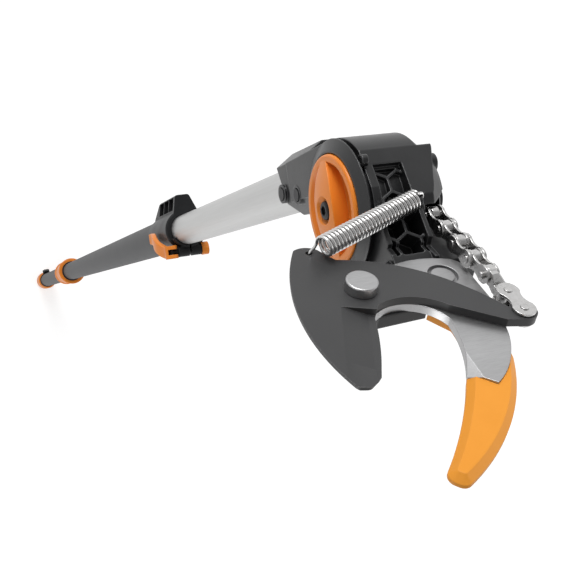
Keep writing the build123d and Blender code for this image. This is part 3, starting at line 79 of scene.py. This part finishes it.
camera_data = bpy.data.cameras.new("camera")
camera_data.sensor_fit = "HORIZONTAL"
camera_data.sensor_width = SENSOR_MM
camera_data.lens = LENS_MM
camera_data.clip_start = NEAREST
camera = bpy.data.objects.new("camera", camera_data)
turn = Matrix((RIGHT, UP, -FORWARD)).transposed().to_4x4()
camera.matrix_world = Matrix.Translation(EYE) @ turn
scene.collection.objects.link(camera)
scene.camera = camera
print("camera looks along", tuple(round(x, 3) for x in FORWARD))

# %% [markdown]
# Product pictures are lit by large soft sources, and the sky gives an even base for them. The
# walls of the studio are white and its ceiling is grey. That picture shows only in rays from the
# camera, mirrors and glass, so it puts no extra light on the object, and polished steel gets
# something darker than white to mirror. Brightening the sky itself would also whiten the
# background, but it would wash out the object.

# %% World


def maths(tree, operation, a, b):
    node = tree.nodes.new("ShaderNodeMath")
    node.operation = operation
    for i, value in enumerate((a, b)):
        if isinstance(value, (int, float)):
            node.inputs[i].default_value = value
        else:
            tree.links.new(value, node.inputs[i])
    return node.outputs[0]


def remap(tree, value, low, high, to_low=0.0, to_high=1.0, curve="LINEAR"):
    node = tree.nodes.new("ShaderNodeMapRange")
    node.clamp = True
    node.interpolation_type = curve
    ends = (("From Min", low), ("From Max", high), ("To Min", to_low), ("To Max", to_high))
    for label, number in ends:
        node.inputs[label].default_value = number
    tree.links.new(value, node.inputs["Value"])
    return node.outputs["Result"]


def seen_directly(tree):
    """1 for rays that show the background: from the camera, in a mirror or through glass."""
    path = tree.nodes.new("ShaderNodeLightPath")
    value = path.outputs["Is Camera Ray"]
    for name in ("Is Glossy Ray", "Is Transmission Ray"):
        value = maths(tree, "MAXIMUM", value, path.outputs[name])
    return value


WHITE = (1.0, 1.0, 1.0, 1.0)
SKY_LIGHT = 0.40
WALL = 1.0
CEILING = 0.30
WALL_ENDS = 0.45
CEILING_STARTS = 0.85
world = bpy.data.worlds.new("studio")
world.use_nodes = True
scene.world = world
sky = world.node_tree
sky.nodes.clear()
sky_out = sky.nodes.new("ShaderNodeOutputWorld")
sky_mix = sky.nodes.new("ShaderNodeMixShader")
sky_base = sky.nodes.new("ShaderNodeBackground")
sky_base.inputs["Color"].default_value = WHITE
sky_base.inputs["Strength"].default_value = SKY_LIGHT
sky_seen = sky.nodes.new("ShaderNodeBackground")
sky_seen.inputs["Strength"].default_value = 1.0
looking = sky.nodes.new("ShaderNodeTexCoord")
height = sky.nodes.new("ShaderNodeSeparateXYZ")
sky.links.new(looking.outputs["Generated"], height.inputs[0])
shade = remap(sky, height.outputs["Z"], WALL_ENDS, CEILING_STARTS, WALL, CEILING, "SMOOTHSTEP")
sky.links.new(shade, sky_seen.inputs["Color"])
sky.links.new(seen_directly(sky), sky_mix.inputs["Fac"])
sky.links.new(sky_base.outputs[0], sky_mix.inputs[1])
sky.links.new(sky_seen.outputs[0], sky_mix.inputs[2])
sky.links.new(sky_mix.outputs[0], sky_out.inputs["Surface"])
print("sky light", SKY_LIGHT, "and ceiling", CEILING)

# %% [markdown]
# A wide panel on the blade side is the key lamp, and two weaker panels keep the far side and the
# pole from going flat. Points and spots would give hard shadows and small sharp highlights. Discs
# of well over a metre give the long soft highlights that show how a surface curves.

# %% Lamps
HEAD_PLACE = (0.06, -0.02, 2.34)
POLE_PLACE = (0.0, 0.0, 0.9)


def panel_lamp(name, stand, target, width, power):
    data = bpy.data.lights.new(name, "AREA")
    data.shape = "DISK"
    data.size = width
    data.energy = power
    lamp = bpy.data.objects.new(name, data)
    lamp.location = stand
    lamp.rotation_euler = (Vector(target) - Vector(stand)).to_track_quat("-Z", "Y").to_euler()
    scene.collection.objects.link(lamp)


panel_lamp("key_panel", (-2.3, -0.3, 3.6), HEAD_PLACE, width=1.6, power=63.0)
panel_lamp("far_side_panel", (1.2, 2.6, 3.0), HEAD_PLACE, width=1.8, power=18.0)
panel_lamp("pole_panel", (2.0, -1.9, 1.2), POLE_PLACE, width=1.8, power=28.0)

# %% [markdown]
# The floor is a pale disc under the pole end. A square plane would serve too, but a disc ends at
# the same distance on every side. It lies a hair lower than the pole end, so that two faces never
# share one plane.

# %% Floor disc
FLOOR_R = 9.0
FLOOR_SIDES = 96
FLOOR_DROP = 0.0004
floor_mesh = bpy.data.meshes.new("floor")
bm = bmesh.new()
bmesh.ops.create_circle(bm, cap_ends=True, segments=FLOOR_SIDES, radius=FLOOR_R)
bmesh.ops.translate(bm, verts=bm.verts, vec=(0.0, 0.0, -FLOOR_DROP))
bm.to_mesh(floor_mesh)
bm.free()
floor = bpy.data.objects.new("floor", floor_mesh)
scene.collection.objects.link(floor)
print("floor disc of", FLOOR_R, "m")

# %% [markdown]
# Part of the floor's white is plain paint, which takes the object's soft shadow, and part is a
# glow that is added only for rays that show the background. Paint alone would need more light on
# the object to look white. The glow grows outwards, where less lamp light falls, so the floor
# runs into the white wall without a line.

# %% Floor paint
FLOOR_GREY = 0.62
GLOW_STARTS, GLOW_ENDS = 0.6, 3.5
GLOW_LOW, GLOW_HIGH = 0.56, 0.80
paint = bpy.data.materials.new("floor_paint")
paint.use_nodes = True
tree = paint.node_tree
tree.nodes.clear()
out = tree.nodes.new("ShaderNodeOutputMaterial")
matt = tree.nodes.new("ShaderNodeBsdfDiffuse")
matt.inputs["Color"].default_value = (FLOOR_GREY, FLOOR_GREY, FLOOR_GREY, 1.0)
glow = tree.nodes.new("ShaderNodeEmission")
glow.inputs["Color"].default_value = WHITE
spot = tree.nodes.new("ShaderNodeTexCoord")
from_pole = tree.nodes.new("ShaderNodeVectorMath")
from_pole.operation = "LENGTH"
tree.links.new(spot.outputs["Object"], from_pole.inputs[0])
rising = remap(tree, from_pole.outputs["Value"], GLOW_STARTS, GLOW_ENDS, GLOW_LOW, GLOW_HIGH)
tree.links.new(rising, glow.inputs["Strength"])
both = tree.nodes.new("ShaderNodeAddShader")
choose = tree.nodes.new("ShaderNodeMixShader")
tree.links.new(matt.outputs[0], both.inputs[0])
tree.links.new(glow.outputs[0], both.inputs[1])
tree.links.new(seen_directly(tree), choose.inputs["Fac"])
tree.links.new(matt.outputs[0], choose.inputs[1])
tree.links.new(both.outputs[0], choose.inputs[2])
tree.links.new(choose.outputs[0], out.inputs["Surface"])
floor_mesh.materials.append(paint)
print("floor glow from", GLOW_LOW, "to", GLOW_HIGH)

# %% [markdown]
# Three effects come back in many finishes, so each is a node group that is built once and placed
# with its own values. The first is moulded grain, the fine pebble that a spark-eroded mould leaves
# on nylon, with a slow mottle for the colour. A picture of grain could be wrapped round each piece,
# but noise read from Object coordinates needs no unwrapping and has no seam.

# %% Moulded grain
NOISE_LOW, NOISE_HIGH = 0.3, 0.7
MOTTLE_SCALE = 42.0


def group_with(name, inputs, outputs):
    group = bpy.data.node_groups.new(name, "ShaderNodeTree")
    for in_out, sockets in (("INPUT", inputs), ("OUTPUT", outputs)):
        for label, kind in sockets:
            group.interface.new_socket(label, in_out=in_out, socket_type="NodeSocket" + kind)
    return group, group.nodes.new("NodeGroupInput"), group.nodes.new("NodeGroupOutput")


def noise(tree, vector, scale, detail, rough):
    node = tree.nodes.new("ShaderNodeTexNoise")
    node.inputs["Detail"].default_value = detail
    node.inputs["Roughness"].default_value = rough
    tree.links.new(vector, node.inputs["Vector"])
    if isinstance(scale, (int, float)):
        node.inputs["Scale"].default_value = scale
    else:
        tree.links.new(scale, node.inputs["Scale"])
    return node.outputs["Fac"]


grain, g_in, g_out = group_with(
    "moulded_grain", [("Vector", "Vector"), ("Scale", "Float")],
    [("Height", "Float"), ("Mottle", "Float")])
pebble = noise(grain, g_in.outputs["Vector"], g_in.outputs["Scale"], detail=2.0, rough=0.5)
grain.links.new(remap(grain, pebble, NOISE_LOW, NOISE_HIGH), g_out.inputs["Height"])
mottle = noise(grain, g_in.outputs["Vector"], MOTTLE_SCALE, detail=4.0, rough=0.6)
grain.links.new(remap(grain, mottle, NOISE_LOW, NOISE_HIGH), g_out.inputs["Mottle"])
print("effect:", grain.name)

# %% [markdown]
# Brushed lines are the long scratches of rolled or ground metal. They are the same noise, drawn
# out later by a Mapping node that shrinks one axis, which is simpler than drawing single lines.
# The streaks change the shade, and a slow cloud changes the roughness.

# %% Brushed lines
STREAK_LOW, STREAK_HIGH = 0.32, 0.68
CLOUD_SCALE = 60.0
brushed, b_in, b_out = group_with(
    "brushed_lines", [("Vector", "Vector"), ("Scale", "Float")],
    [("Height", "Float"), ("Streak", "Float"), ("Cloud", "Float")])
fine = noise(brushed, b_in.outputs["Vector"], b_in.outputs["Scale"], detail=4.0, rough=0.65)
brushed.links.new(fine, b_out.inputs["Height"])
brushed.links.new(remap(brushed, fine, STREAK_LOW, STREAK_HIGH), b_out.inputs["Streak"])
soft = noise(brushed, b_in.outputs["Vector"], CLOUD_SCALE, detail=2.0, rough=0.5)
brushed.links.new(remap(brushed, soft, NOISE_LOW, NOISE_HIGH), b_out.inputs["Cloud"])
print("effect:", brushed.name)

# %% [markdown]
# Rounded edges and painted highlight finds corners by comparing the true normal with a rounded
# one: where the two differ, a corner is near. The moulded finishes paint a lighter colour on those
# corners, which is a painted highlight. The same rounded normal also gives the corner a shine,
# which no real edge is without. Bevelling every solid's mesh would do this too, but the solids stay
# as they came.

# %% Rounded edges and painted highlight
EDGE_SAMPLES = 16
EDGE_STARTS, EDGE_FULL = 0.995, 0.86
worn, w_in, w_out = group_with(
    "worn_edges", [("Radius", "Float")], [("Edge", "Float"), ("Normal", "Vector")])
rounded = worn.nodes.new("ShaderNodeBevel")
rounded.samples = EDGE_SAMPLES
worn.links.new(w_in.outputs["Radius"], rounded.inputs["Radius"])
surface = worn.nodes.new("ShaderNodeNewGeometry")
facing = worn.nodes.new("ShaderNodeVectorMath")
facing.operation = "DOT_PRODUCT"
worn.links.new(rounded.outputs["Normal"], facing.inputs[0])
worn.links.new(surface.outputs["Normal"], facing.inputs[1])
corner_mask = remap(worn, facing.outputs["Value"], EDGE_STARTS, EDGE_FULL)
worn.links.new(corner_mask, w_out.inputs["Edge"])
worn.links.new(rounded.outputs["Normal"], w_out.inputs["Normal"])
print("effect:", worn.name)

# %% [markdown]
# Every finish is laid out in the same way: two shades mixed by a pattern, a roughness that wanders
# a little, and a bump on top of the rounded normal. Only the patterns run through nodes. Plain
# numbers sit on the shader's own sockets, so that they survive export.

# %% Finish helpers


def put_group(tree, group, label, number):
    node = tree.nodes.new("ShaderNodeGroup")
    node.node_tree = group
    node.inputs[label].default_value = number
    return node


def blend_colours(tree, fac, first, second):
    node = tree.nodes.new("ShaderNodeMix")
    node.data_type = "RGBA"
    for socket, value in ((node.inputs[6], first), (node.inputs[7], second)):
        if isinstance(value, tuple):
            socket.default_value = (*value, 1.0)
        else:
            tree.links.new(value, socket)
    tree.links.new(fac, node.inputs[0])
    return node.outputs[2]


def object_vector(tree, stretch=(1.0, 1.0, 1.0), turned=(0.0, 0.0, 0.0)):
    spot = tree.nodes.new("ShaderNodeTexCoord")
    mapping = tree.nodes.new("ShaderNodeMapping")
    mapping.inputs["Rotation"].default_value = turned
    mapping.inputs["Scale"].default_value = stretch
    tree.links.new(spot.outputs["Object"], mapping.inputs["Vector"])
    return mapping.outputs["Vector"]


def new_finish(name, metallic, specular=0.5):
    made = bpy.data.materials.new(name)
    made.use_nodes = True
    tree = made.node_tree
    shader = tree.nodes["Principled BSDF"]
    shader.inputs["Metallic"].default_value = metallic
    shader.inputs["Specular IOR Level"].default_value = specular
    return made, tree, shader


def bump_on(tree, shader, height, strength, depth, under=None):
    node = tree.nodes.new("ShaderNodeBump")
    node.inputs["Strength"].default_value = strength
    node.inputs["Distance"].default_value = depth
    tree.links.new(height, node.inputs["Height"])
    if under is not None:
        tree.links.new(under, node.inputs["Normal"])
    tree.links.new(node.outputs["Normal"], shader.inputs["Normal"])


print("effects to place:", sorted(g.name for g in bpy.data.node_groups))

# %% [markdown]
# The grips, the lever and the lock knob are orange nylon. The hook is painted a lighter, yellower
# orange, which is a painted sheen. The housing and the neck are charcoal nylon. The outer tube is
# painted dark grey, and the moving blade has a dark low-friction coating. All of these are plastics
# or paints with a fine grain, so one builder makes them, and each has its own shades, gloss and
# size of grain.

# %% Moulded and painted finishes
HIGHLIGHT_SHARE = 0.5
PEBBLE_DEPTH = 0.00012


def moulded_finish(name, shade, second, edge, rough, scale=1600.0, bump=0.12, radius=0.0007,
                   specular=0.4, wander=0.05):
    made, tree, shader = new_finish(name, 0.0, specular)
    pebbles = put_group(tree, grain, "Scale", scale)
    tree.links.new(object_vector(tree), pebbles.inputs["Vector"])
    edges = put_group(tree, worn, "Radius", radius)
    colour = blend_colours(tree, pebbles.outputs["Mottle"], shade, second)
    # The lighter colour mixed in along the corners is a painted highlight.
    faint = maths(tree, "MULTIPLY", edges.outputs["Edge"], HIGHLIGHT_SHARE)
    tree.links.new(blend_colours(tree, faint, colour, edge), shader.inputs["Base Color"])
    gloss = remap(tree, pebbles.outputs["Mottle"], 0, 1, rough - wander, rough + wander)
    tree.links.new(gloss, shader.inputs["Roughness"])
    bump_on(tree, shader, pebbles.outputs["Height"], bump, PEBBLE_DEPTH, edges.outputs["Normal"])
    return made


# The hook's lighter orange is a painted sheen on orange nylon.
hook_nylon_painted_sheen = moulded_finish(
    "hook_nylon_painted_sheen", (0.77, 0.300, 0.036), (0.81, 0.322, 0.042), edge=(0.92, 0.40, 0.09),
    rough=0.42, bump=0.07, specular=0.15)
orange_nylon = moulded_finish(
    "orange_nylon", (0.77, 0.222, 0.022), (0.81, 0.244, 0.027), edge=(0.92, 0.36, 0.08),
    rough=0.36, bump=0.07, specular=0.3)
charcoal_nylon = moulded_finish(
    "charcoal_nylon", (0.010, 0.0102, 0.011), (0.0135, 0.0138, 0.0146), edge=(0.10, 0.101, 0.105),
    rough=0.36, radius=0.0011)
tube_paint = moulded_finish(
    "tube_paint", (0.058, 0.059, 0.061), (0.060, 0.061, 0.063), edge=(0.2, 0.2, 0.2),
    rough=0.52, scale=900.0, bump=0.02, specular=0.14, wander=0.01)
blade_coat = moulded_finish(
    "blade_coat", (0.032, 0.032, 0.033), (0.036, 0.036, 0.037), edge=(0.18, 0.18, 0.18),
    rough=0.42, scale=2200.0, bump=0.04, radius=0.0004)
soft_rubber = moulded_finish(
    "soft_rubber", (0.010, 0.010, 0.011), (0.014, 0.014, 0.015), edge=(0.04, 0.04, 0.04),
    rough=0.7)
moulded = (hook_nylon_painted_sheen, orange_nylon, charcoal_nylon, tube_paint, blade_coat, soft_rubber)
print("moulded and painted finishes:", [m.name for m in moulded])

# %% [markdown]
# The inner tube is satin aluminium with lines along the pole. The counter blade is ground across
# its face, the chain is plated, and the spring and the screws are plain or blackened steel. A metal
# has no colour of its own under the gloss, so its shade is the colour of its reflections. The lines
# run along the axis that the Mapping node shrinks.

# %% Metal finishes
GLOSSIER, DULLER = 0.04, 0.07
SCRATCH_DEPTH = 0.00006
NO_DIRECTION = (1.0, 1.0, 1.0)
ALONG_POLE = (1.0, 1.0, 0.02)
ACROSS_BLADE = (1.0, 0.06, 1.0)
GRIND_TURN = (0.0, 0.0, 0.35)


def metal_finish(name, shade, second, rough, stretch, turned=(0.0, 0.0, 0.0), scale=900.0,
                 bump=0.03, metallic=1.0, radius=0.0005):
    made, tree, shader = new_finish(name, metallic)
    lines = put_group(tree, brushed, "Scale", scale)
    tree.links.new(object_vector(tree, stretch, turned), lines.inputs["Vector"])
    edges = put_group(tree, worn, "Radius", radius)
    colour = blend_colours(tree, lines.outputs["Streak"], shade, second)
    tree.links.new(colour, shader.inputs["Base Color"])
    gloss = remap(tree, lines.outputs["Cloud"], 0, 1, rough - GLOSSIER, rough + DULLER)
    tree.links.new(gloss, shader.inputs["Roughness"])
    bump_on(tree, shader, lines.outputs["Height"], bump, SCRATCH_DEPTH, edges.outputs["Normal"])
    return made


satin_aluminium = metal_finish(
    "satin_aluminium", (0.445, 0.445, 0.442), (0.475, 0.475, 0.472), 0.40, ALONG_POLE, bump=0.06)
ground_steel = metal_finish(
    "ground_steel", (0.35, 0.35, 0.354), (0.41, 0.41, 0.414), 0.35, ACROSS_BLADE, GRIND_TURN,
    scale=2400.0, bump=0.05)
plated_steel = metal_finish(
    "plated_steel", (0.50, 0.495, 0.49), (0.58, 0.575, 0.57), 0.25, NO_DIRECTION, scale=500.0)
spring_steel = metal_finish(
    "spring_steel", (0.56, 0.555, 0.55), (0.64, 0.635, 0.63), 0.24, NO_DIRECTION)
black_oxide = metal_finish(
    "black_oxide", (0.008, 0.008, 0.009), (0.014, 0.014, 0.015), 0.48, NO_DIRECTION,
    bump=0.05, metallic=0.5)
metals = (satin_aluminium, ground_steel, plated_steel, spring_steel, black_oxide)
print("metal finishes:", [m.name for m in metals])

# %% [markdown]
# The tube clamp is moulded in two shots: its sleeve is the grey of the outer tube, so the two read
# as one, and the mouth ring, the fin and the bolt barrels are charcoal. Two materials on one mesh
# would need its faces sorted, and the solids aren't changed, so a mask picks the shade: the
# distance from the pole's axis, together with the height of the mouth ring.

# %% Clamp finish
SLEEVE_R = 0.0213
SLEEVE_FADE = 0.0002
CLAMP_OVER_TUBE = 0.010
RING_STARTS, RING_ENDS = 0.0030, 0.0034
SLEEVE_GREY = (0.059, 0.060, 0.062)
mouth_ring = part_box("lower_tube")[1].z + CLAMP_OVER_TUBE
clamp_nylon = moulded_finish(
    "clamp_nylon", (0.011, 0.0114, 0.0125), (0.0145, 0.015, 0.016), edge=(0.05, 0.051, 0.055),
    rough=0.50, specular=0.2)
tree = clamp_nylon.node_tree
shader = tree.nodes["Principled BSDF"]
charcoal = shader.inputs["Base Color"].links[0].from_socket
from_axis = tree.nodes.new("ShaderNodeVectorMath")
from_axis.operation = "LENGTH"
tree.links.new(object_vector(tree, (1.0, 1.0, 0.0)), from_axis.inputs[0])
spot = tree.nodes.new("ShaderNodeSeparateXYZ")
tree.links.new(object_vector(tree), spot.inputs[0])
near_axis = remap(tree, from_axis.outputs["Value"], SLEEVE_R, SLEEVE_R - SLEEVE_FADE)
below_ring = remap(tree, spot.outputs["Z"], mouth_ring - RING_STARTS, mouth_ring - RING_ENDS)
on_sleeve = maths(tree, "MULTIPLY", near_axis, below_ring)
two_shot = blend_colours(tree, on_sleeve, charcoal, SLEEVE_GREY)
tree.links.new(two_shot, shader.inputs["Base Color"])
print("mouth ring at", round(mouth_ring, 4), "m")

# %% [markdown]
# A table says which finish each solid takes, so a change of finish is a change of one word. The
# spring and the strap aren't in it, because new pieces take their place further down.

# %% Finish of each solid
FINISH_OF = {
    "lower_tube": tube_paint, "upper_tube": satin_aluminium,
    "end_knob": orange_nylon, "end_pin": plated_steel, "end_ring": soft_rubber,
    "end_catch": charcoal_nylon, "clamp_collar": clamp_nylon, "pole_bush": charcoal_nylon,
    "clamp_bolt": black_oxide, "clamp_nut": orange_nylon, "clamp_lever": orange_nylon,
    "guide_sleeve": charcoal_nylon, "neck_left": charcoal_nylon, "neck_right": charcoal_nylon,
    "neck_screws": black_oxide, "swivel_bolt": black_oxide, "lock_knob": orange_nylon,
    "knob_screw": black_oxide, "handle_grip": orange_nylon, "handle_wiper": soft_rubber,
    "carriage": charcoal_nylon, "carriage_key": plated_steel, "drum": charcoal_nylon,
    "head_housing": charcoal_nylon, "head_cover": charcoal_nylon, "cover_screws": black_oxide,
    "counter_blade": ground_steel, "plate_screw": ground_steel, "hook": hook_nylon_painted_sheen,
    "hook_screws": black_oxide, "pivot_bolt": ground_steel, "pivot_nut": plated_steel,
    "blade": blade_coat, "chain_inner_plates": plated_steel, "chain_outer_plates": plated_steel,
    "chain_rollers": plated_steel, "chain_pins": plated_steel, "chain_connector": plated_steel,
    "end_link": plated_steel, "end_link_pins": plated_steel,
}
for name, finish in FINISH_OF.items():
    mesh = nodes[name].data
    mesh.materials.clear()
    mesh.materials.append(finish)
print("finished nodes:", len(FINISH_OF))

# %% [markdown]
# The head leans over from the pole, so a piece on it is easier to place along the head's own three
# directions, from the middle of the swivel. An empty as a parent could turn the piece instead, but
# then its object would no longer sit at the origin.

# %% The head's own directions
MM = 0.001
HEAD_TILT = math.radians(38.0)
SWIVEL_AT = Vector((0.0224, 0.0, 2.2957))
ARM = Vector((math.sin(HEAD_TILT), 0.0, math.cos(HEAD_TILT)))
ACROSS = Vector((0.0, 1.0, 0.0))
LIFT = Vector((-math.cos(HEAD_TILT), 0.0, math.sin(HEAD_TILT)))


def on_head(x, y, z):
    """Point of the head's own frame, in millimetres, as a point of the scene."""
    return SWIVEL_AT + (ARM * x + ACROSS * y + LIFT * z) * MM


print("head leans by", round(math.degrees(HEAD_TILT)), "degrees")

# %% [markdown]
# The return spring pulls the blade open again. It is wound from round wire: a hook through the
# blade, a long close coil, and a loop through the lug on the housing. This cell holds its sizes,
# and says where the wire is and where it heads after a number of turns, so that the hooks can leave
# the coil smoothly.

# %% Line of the coil
WIRE_R = 0.80 * MM
COIL_R = 4.6 * MM
COIL_TURNS = 28.25
START_TURN = 0.5
QUARTER_TURN = 0.25
LOOP_R = 2.4 * MM
LUG_REACH = 3.0 * MM
blade_hole = on_head(46.2, -62.8, 8.1)
coil_start = on_head(50.4, -58.2, 15.9)
loop_middle = on_head(31.85, -0.34, 22.75)
coil_axis = (loop_middle - coil_start).normalized()
coil_end = loop_middle - coil_axis * LUG_REACH
side = coil_axis.cross(LIFT).normalized()
over = coil_axis.cross(side)


def coil_radial(turn):
    angle = 2 * math.pi * turn
    return side * math.cos(angle) + over * math.sin(angle)


def coil_at(turn):
    along = (coil_end - coil_start) * (turn / COIL_TURNS)
    return coil_start + along + coil_radial(turn + START_TURN) * COIL_R


def coil_heading(turn):
    swing = coil_radial(turn + START_TURN + QUARTER_TURN) * (2 * math.pi * COIL_R)
    return (swing + (coil_end - coil_start) / COIL_TURNS).normalized()


print("coil length:", round((coil_end - coil_start).length / MM, 1), "mm")

# %% [markdown]
# Every bend of the wire is an arc, and an arc is a spin of the wire's last ring about the middle of
# the bend. Two arcs that meet smoothly can join any two points with given headings, which is how a
# hook is bent on a jig. A curve with a round bevel could do this too, but spins carry on from ring
# to ring, so the whole wire is one closed mesh.

# %% Bends in the wire
BEND_STEPS = 8


def edges_in(geometry):
    return [e for e in geometry if isinstance(e, bmesh.types.BMEdge)]


def spin_on(bm, edges, centre, axis, angle, steps, rise=Vector((0, 0, 0))):
    spun = bmesh.ops.spin(
        bm, geom=edges, cent=centre, axis=axis, dvec=rise, angle=angle, steps=steps)
    return edges_in(spun["geom_last"])


def arc_on(bm, edges, start, heading, end, steps=BEND_STEPS):
    """One bend that leaves start along heading and reaches end; gives the last ring."""
    chord = end - start
    normal = heading.cross(chord).normalized()
    inward = normal.cross(heading)
    centre = start + inward * (chord.length_squared / (2 * chord.dot(inward)))
    return spin_on(bm, edges, centre, normal, 2 * heading.angle(chord), steps)


def two_bends(bm, edges, start, heading, end, end_heading):
    """Two arcs that join smoothly between two points with given headings."""
    span = end - start
    both = heading + end_heading
    a = both.dot(both) - 4
    b = span.dot(both)
    reach = (b - math.sqrt(b * b - a * span.length_squared)) / a
    first, last = start + heading * reach, end - end_heading * reach
    middle = (first + last) / 2
    edges = arc_on(bm, edges, start, heading, middle)
    return arc_on(bm, edges, middle, (last - first).normalized(), end)


print("steps in a bend:", BEND_STEPS)

# %% [markdown]
# The wire starts as a small ring in the blade's hole. Two bends lead it to the coil, one spin with
# a little rise at each step winds the whole coil, two more bends lead to the lug, and half a turn
# and a straight tail close the loop.

# %% Wind the wire
STEPS_A_TURN = 24
RING_SIDES = 10
LOOP_STEPS = 14
TAIL = 1.6 * MM
SAME_POINT = 1e-6
bm = bmesh.new()
first_ring = bmesh.ops.create_circle(bm, segments=RING_SIDES, radius=WIRE_R)["verts"]
stand = Matrix.Translation(blade_hole) @ LIFT.to_track_quat("Z", "Y").to_matrix().to_4x4()
bmesh.ops.transform(bm, matrix=stand, verts=first_ring)
ring = bm.edges[:]
bmesh.ops.contextual_create(bm, geom=ring)
ring = two_bends(bm, ring, blade_hole, LIFT, coil_at(0), coil_heading(0))
steps = int(COIL_TURNS * STEPS_A_TURN)
rise = (coil_end - coil_start) / steps
ring = spin_on(bm, ring, coil_start, coil_axis, 2 * math.pi * COIL_TURNS, steps, rise)
loop_top = loop_middle - over * LOOP_R
loop_foot = loop_middle + over * LOOP_R
ring = two_bends(bm, ring, coil_at(COIL_TURNS), coil_heading(COIL_TURNS), loop_top, coil_axis)
ring = arc_on(bm, ring, loop_top, coil_axis, loop_foot, LOOP_STEPS)
tail = bmesh.ops.extrude_edge_only(bm, edges=ring)["geom"]
tail_verts = [v for v in tail if isinstance(v, bmesh.types.BMVert)]
bmesh.ops.translate(bm, verts=tail_verts, vec=coil_axis * -TAIL)
bmesh.ops.contextual_create(bm, geom=[e for e in edges_in(tail) if e.is_boundary])
bmesh.ops.remove_doubles(bm, verts=bm.verts, dist=SAME_POINT)
bmesh.ops.recalc_face_normals(bm, faces=bm.faces)
for face in bm.faces:
    face.smooth = True
print("steps in the coil:", steps)

# %% [markdown]
# When the blade shuts, the hook end of the spring goes with it and the loop stays on the head.
# Here the wound wire becomes one piece with the spring steel finish, and the solid spring of the
# frame is hidden.


def finished_piece(name, bm, material):
    mesh = bpy.data.meshes.new(name)
    bm.to_mesh(mesh)
    bm.free()
    mesh.materials.append(material)
    piece = bpy.data.objects.new(name, mesh)
    scene.collection.objects.link(piece)
    return piece


spring = finished_piece("spring_wire", bm, spring_steel)
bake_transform(spring)
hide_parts("return_spring")
print("spring faces:", len(spring.data.polygons))

# %% [markdown]
# The pull strap is flat woven webbing. Its weave is a pattern of small ribs that cross it, with
# painted shade in the hollows. Modelling each thread would cost many thousands of faces on a piece
# that mostly runs inside the pole, so a wave texture makes the ribs, both as painted shade and in
# height.

# %% Strap finish
RIB_SCALE = 260.0
RIB_WANDER = 1.2
RIB_HOLLOW_PAINTED_SHADE, RIB_TOP = (0.02, 0.02, 0.022), (0.05, 0.05, 0.053)
RIB_BUMP, RIB_DEPTH = 0.5, 0.0003
STRAP_ROUGH = 0.75
strap_weave, tree, shader = new_finish("strap_weave", 0.0)
ribs = tree.nodes.new("ShaderNodeTexWave")
ribs.bands_direction = "Z"
ribs.inputs["Scale"].default_value = RIB_SCALE
ribs.inputs["Distortion"].default_value = RIB_WANDER
tree.links.new(object_vector(tree), ribs.inputs["Vector"])
# The hollows between the ribs get painted shade, darker than the rib tops.
rib_painted_shade = blend_colours(tree, ribs.outputs["Fac"], RIB_HOLLOW_PAINTED_SHADE, RIB_TOP)
tree.links.new(rib_painted_shade, shader.inputs["Base Color"])
shader.inputs["Roughness"].default_value = STRAP_ROUGH
bump_on(tree, shader, ribs.outputs["Fac"], RIB_BUMP, RIB_DEPTH)
print("finish:", strap_weave.name)

# %% [markdown]
# The straight run of the strap goes up inside the pole from the handle's carriage to the drum. It
# is a long bar, and a small bevel on its corners makes the rolled selvedges that webbing has.

# %% Straight run of the strap
CORNER_ANGLE = 1.2
RUN_ROLL = 0.0006


def rolled_edges(bm, width, sides):
    sharp = [e for e in bm.edges if e.calc_face_angle(0.0) > CORNER_ANGLE]
    bmesh.ops.bevel(bm, geom=sharp, offset=width, affect="EDGES", segments=sides, profile=0.5,
                    material=-1)


low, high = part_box("pull_strap")
bm = bmesh.new()
bmesh.ops.create_cube(bm, size=1.0)
bmesh.ops.scale(bm, verts=bm.verts, vec=high - low)
bmesh.ops.translate(bm, verts=bm.verts, vec=(low + high) / 2)
rolled_edges(bm, RUN_ROLL, sides=3)
strap = finished_piece("strap_run", bm, strap_weave)
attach(strap, "handle")
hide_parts("pull_strap")
print("strap run:", round(high.z - low.z, 3), "m")

# %% [markdown]
# The end of the strap lies on the drum inside the housing. Four corners make its end face, and a
# spin about the swivel's axis sweeps it round, which is shorter than bending a straight bar. This
# piece covers the quarter turn from the top of the drum forwards, less than the solid that it
# stands for, which goes on for three quarters. The spin is open, so its two ends stay flat.

# %% Turn of the strap on the drum
STRAP_THICK = 0.0016
TURN_ROLL = 0.0005
TURN_STEPS = 24
low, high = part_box("strap_wrap")
wrap_out = (high.x - low.x) / 2
wrap_in = wrap_out - STRAP_THICK
bm = bmesh.new()
corners = [bm.verts.new(SWIVEL_AT + Vector((0.0, y, r)))
           for r in (wrap_in, wrap_out) for y in (low.y, high.y)]
end_face = bm.faces.new([corners[i] for i in (0, 1, 3, 2)])
bmesh.ops.spin(bm, geom=[end_face], cent=SWIVEL_AT, axis=ACROSS, angle=math.pi / 2,
               steps=TURN_STEPS)
bmesh.ops.recalc_face_normals(bm, faces=bm.faces)
rolled_edges(bm, TURN_ROLL, sides=2)
wrap = finished_piece("strap_turn", bm, strap_weave)
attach(wrap, "drum")
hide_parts("strap_wrap")
print("strap pieces:", strap.name, wrap.name)
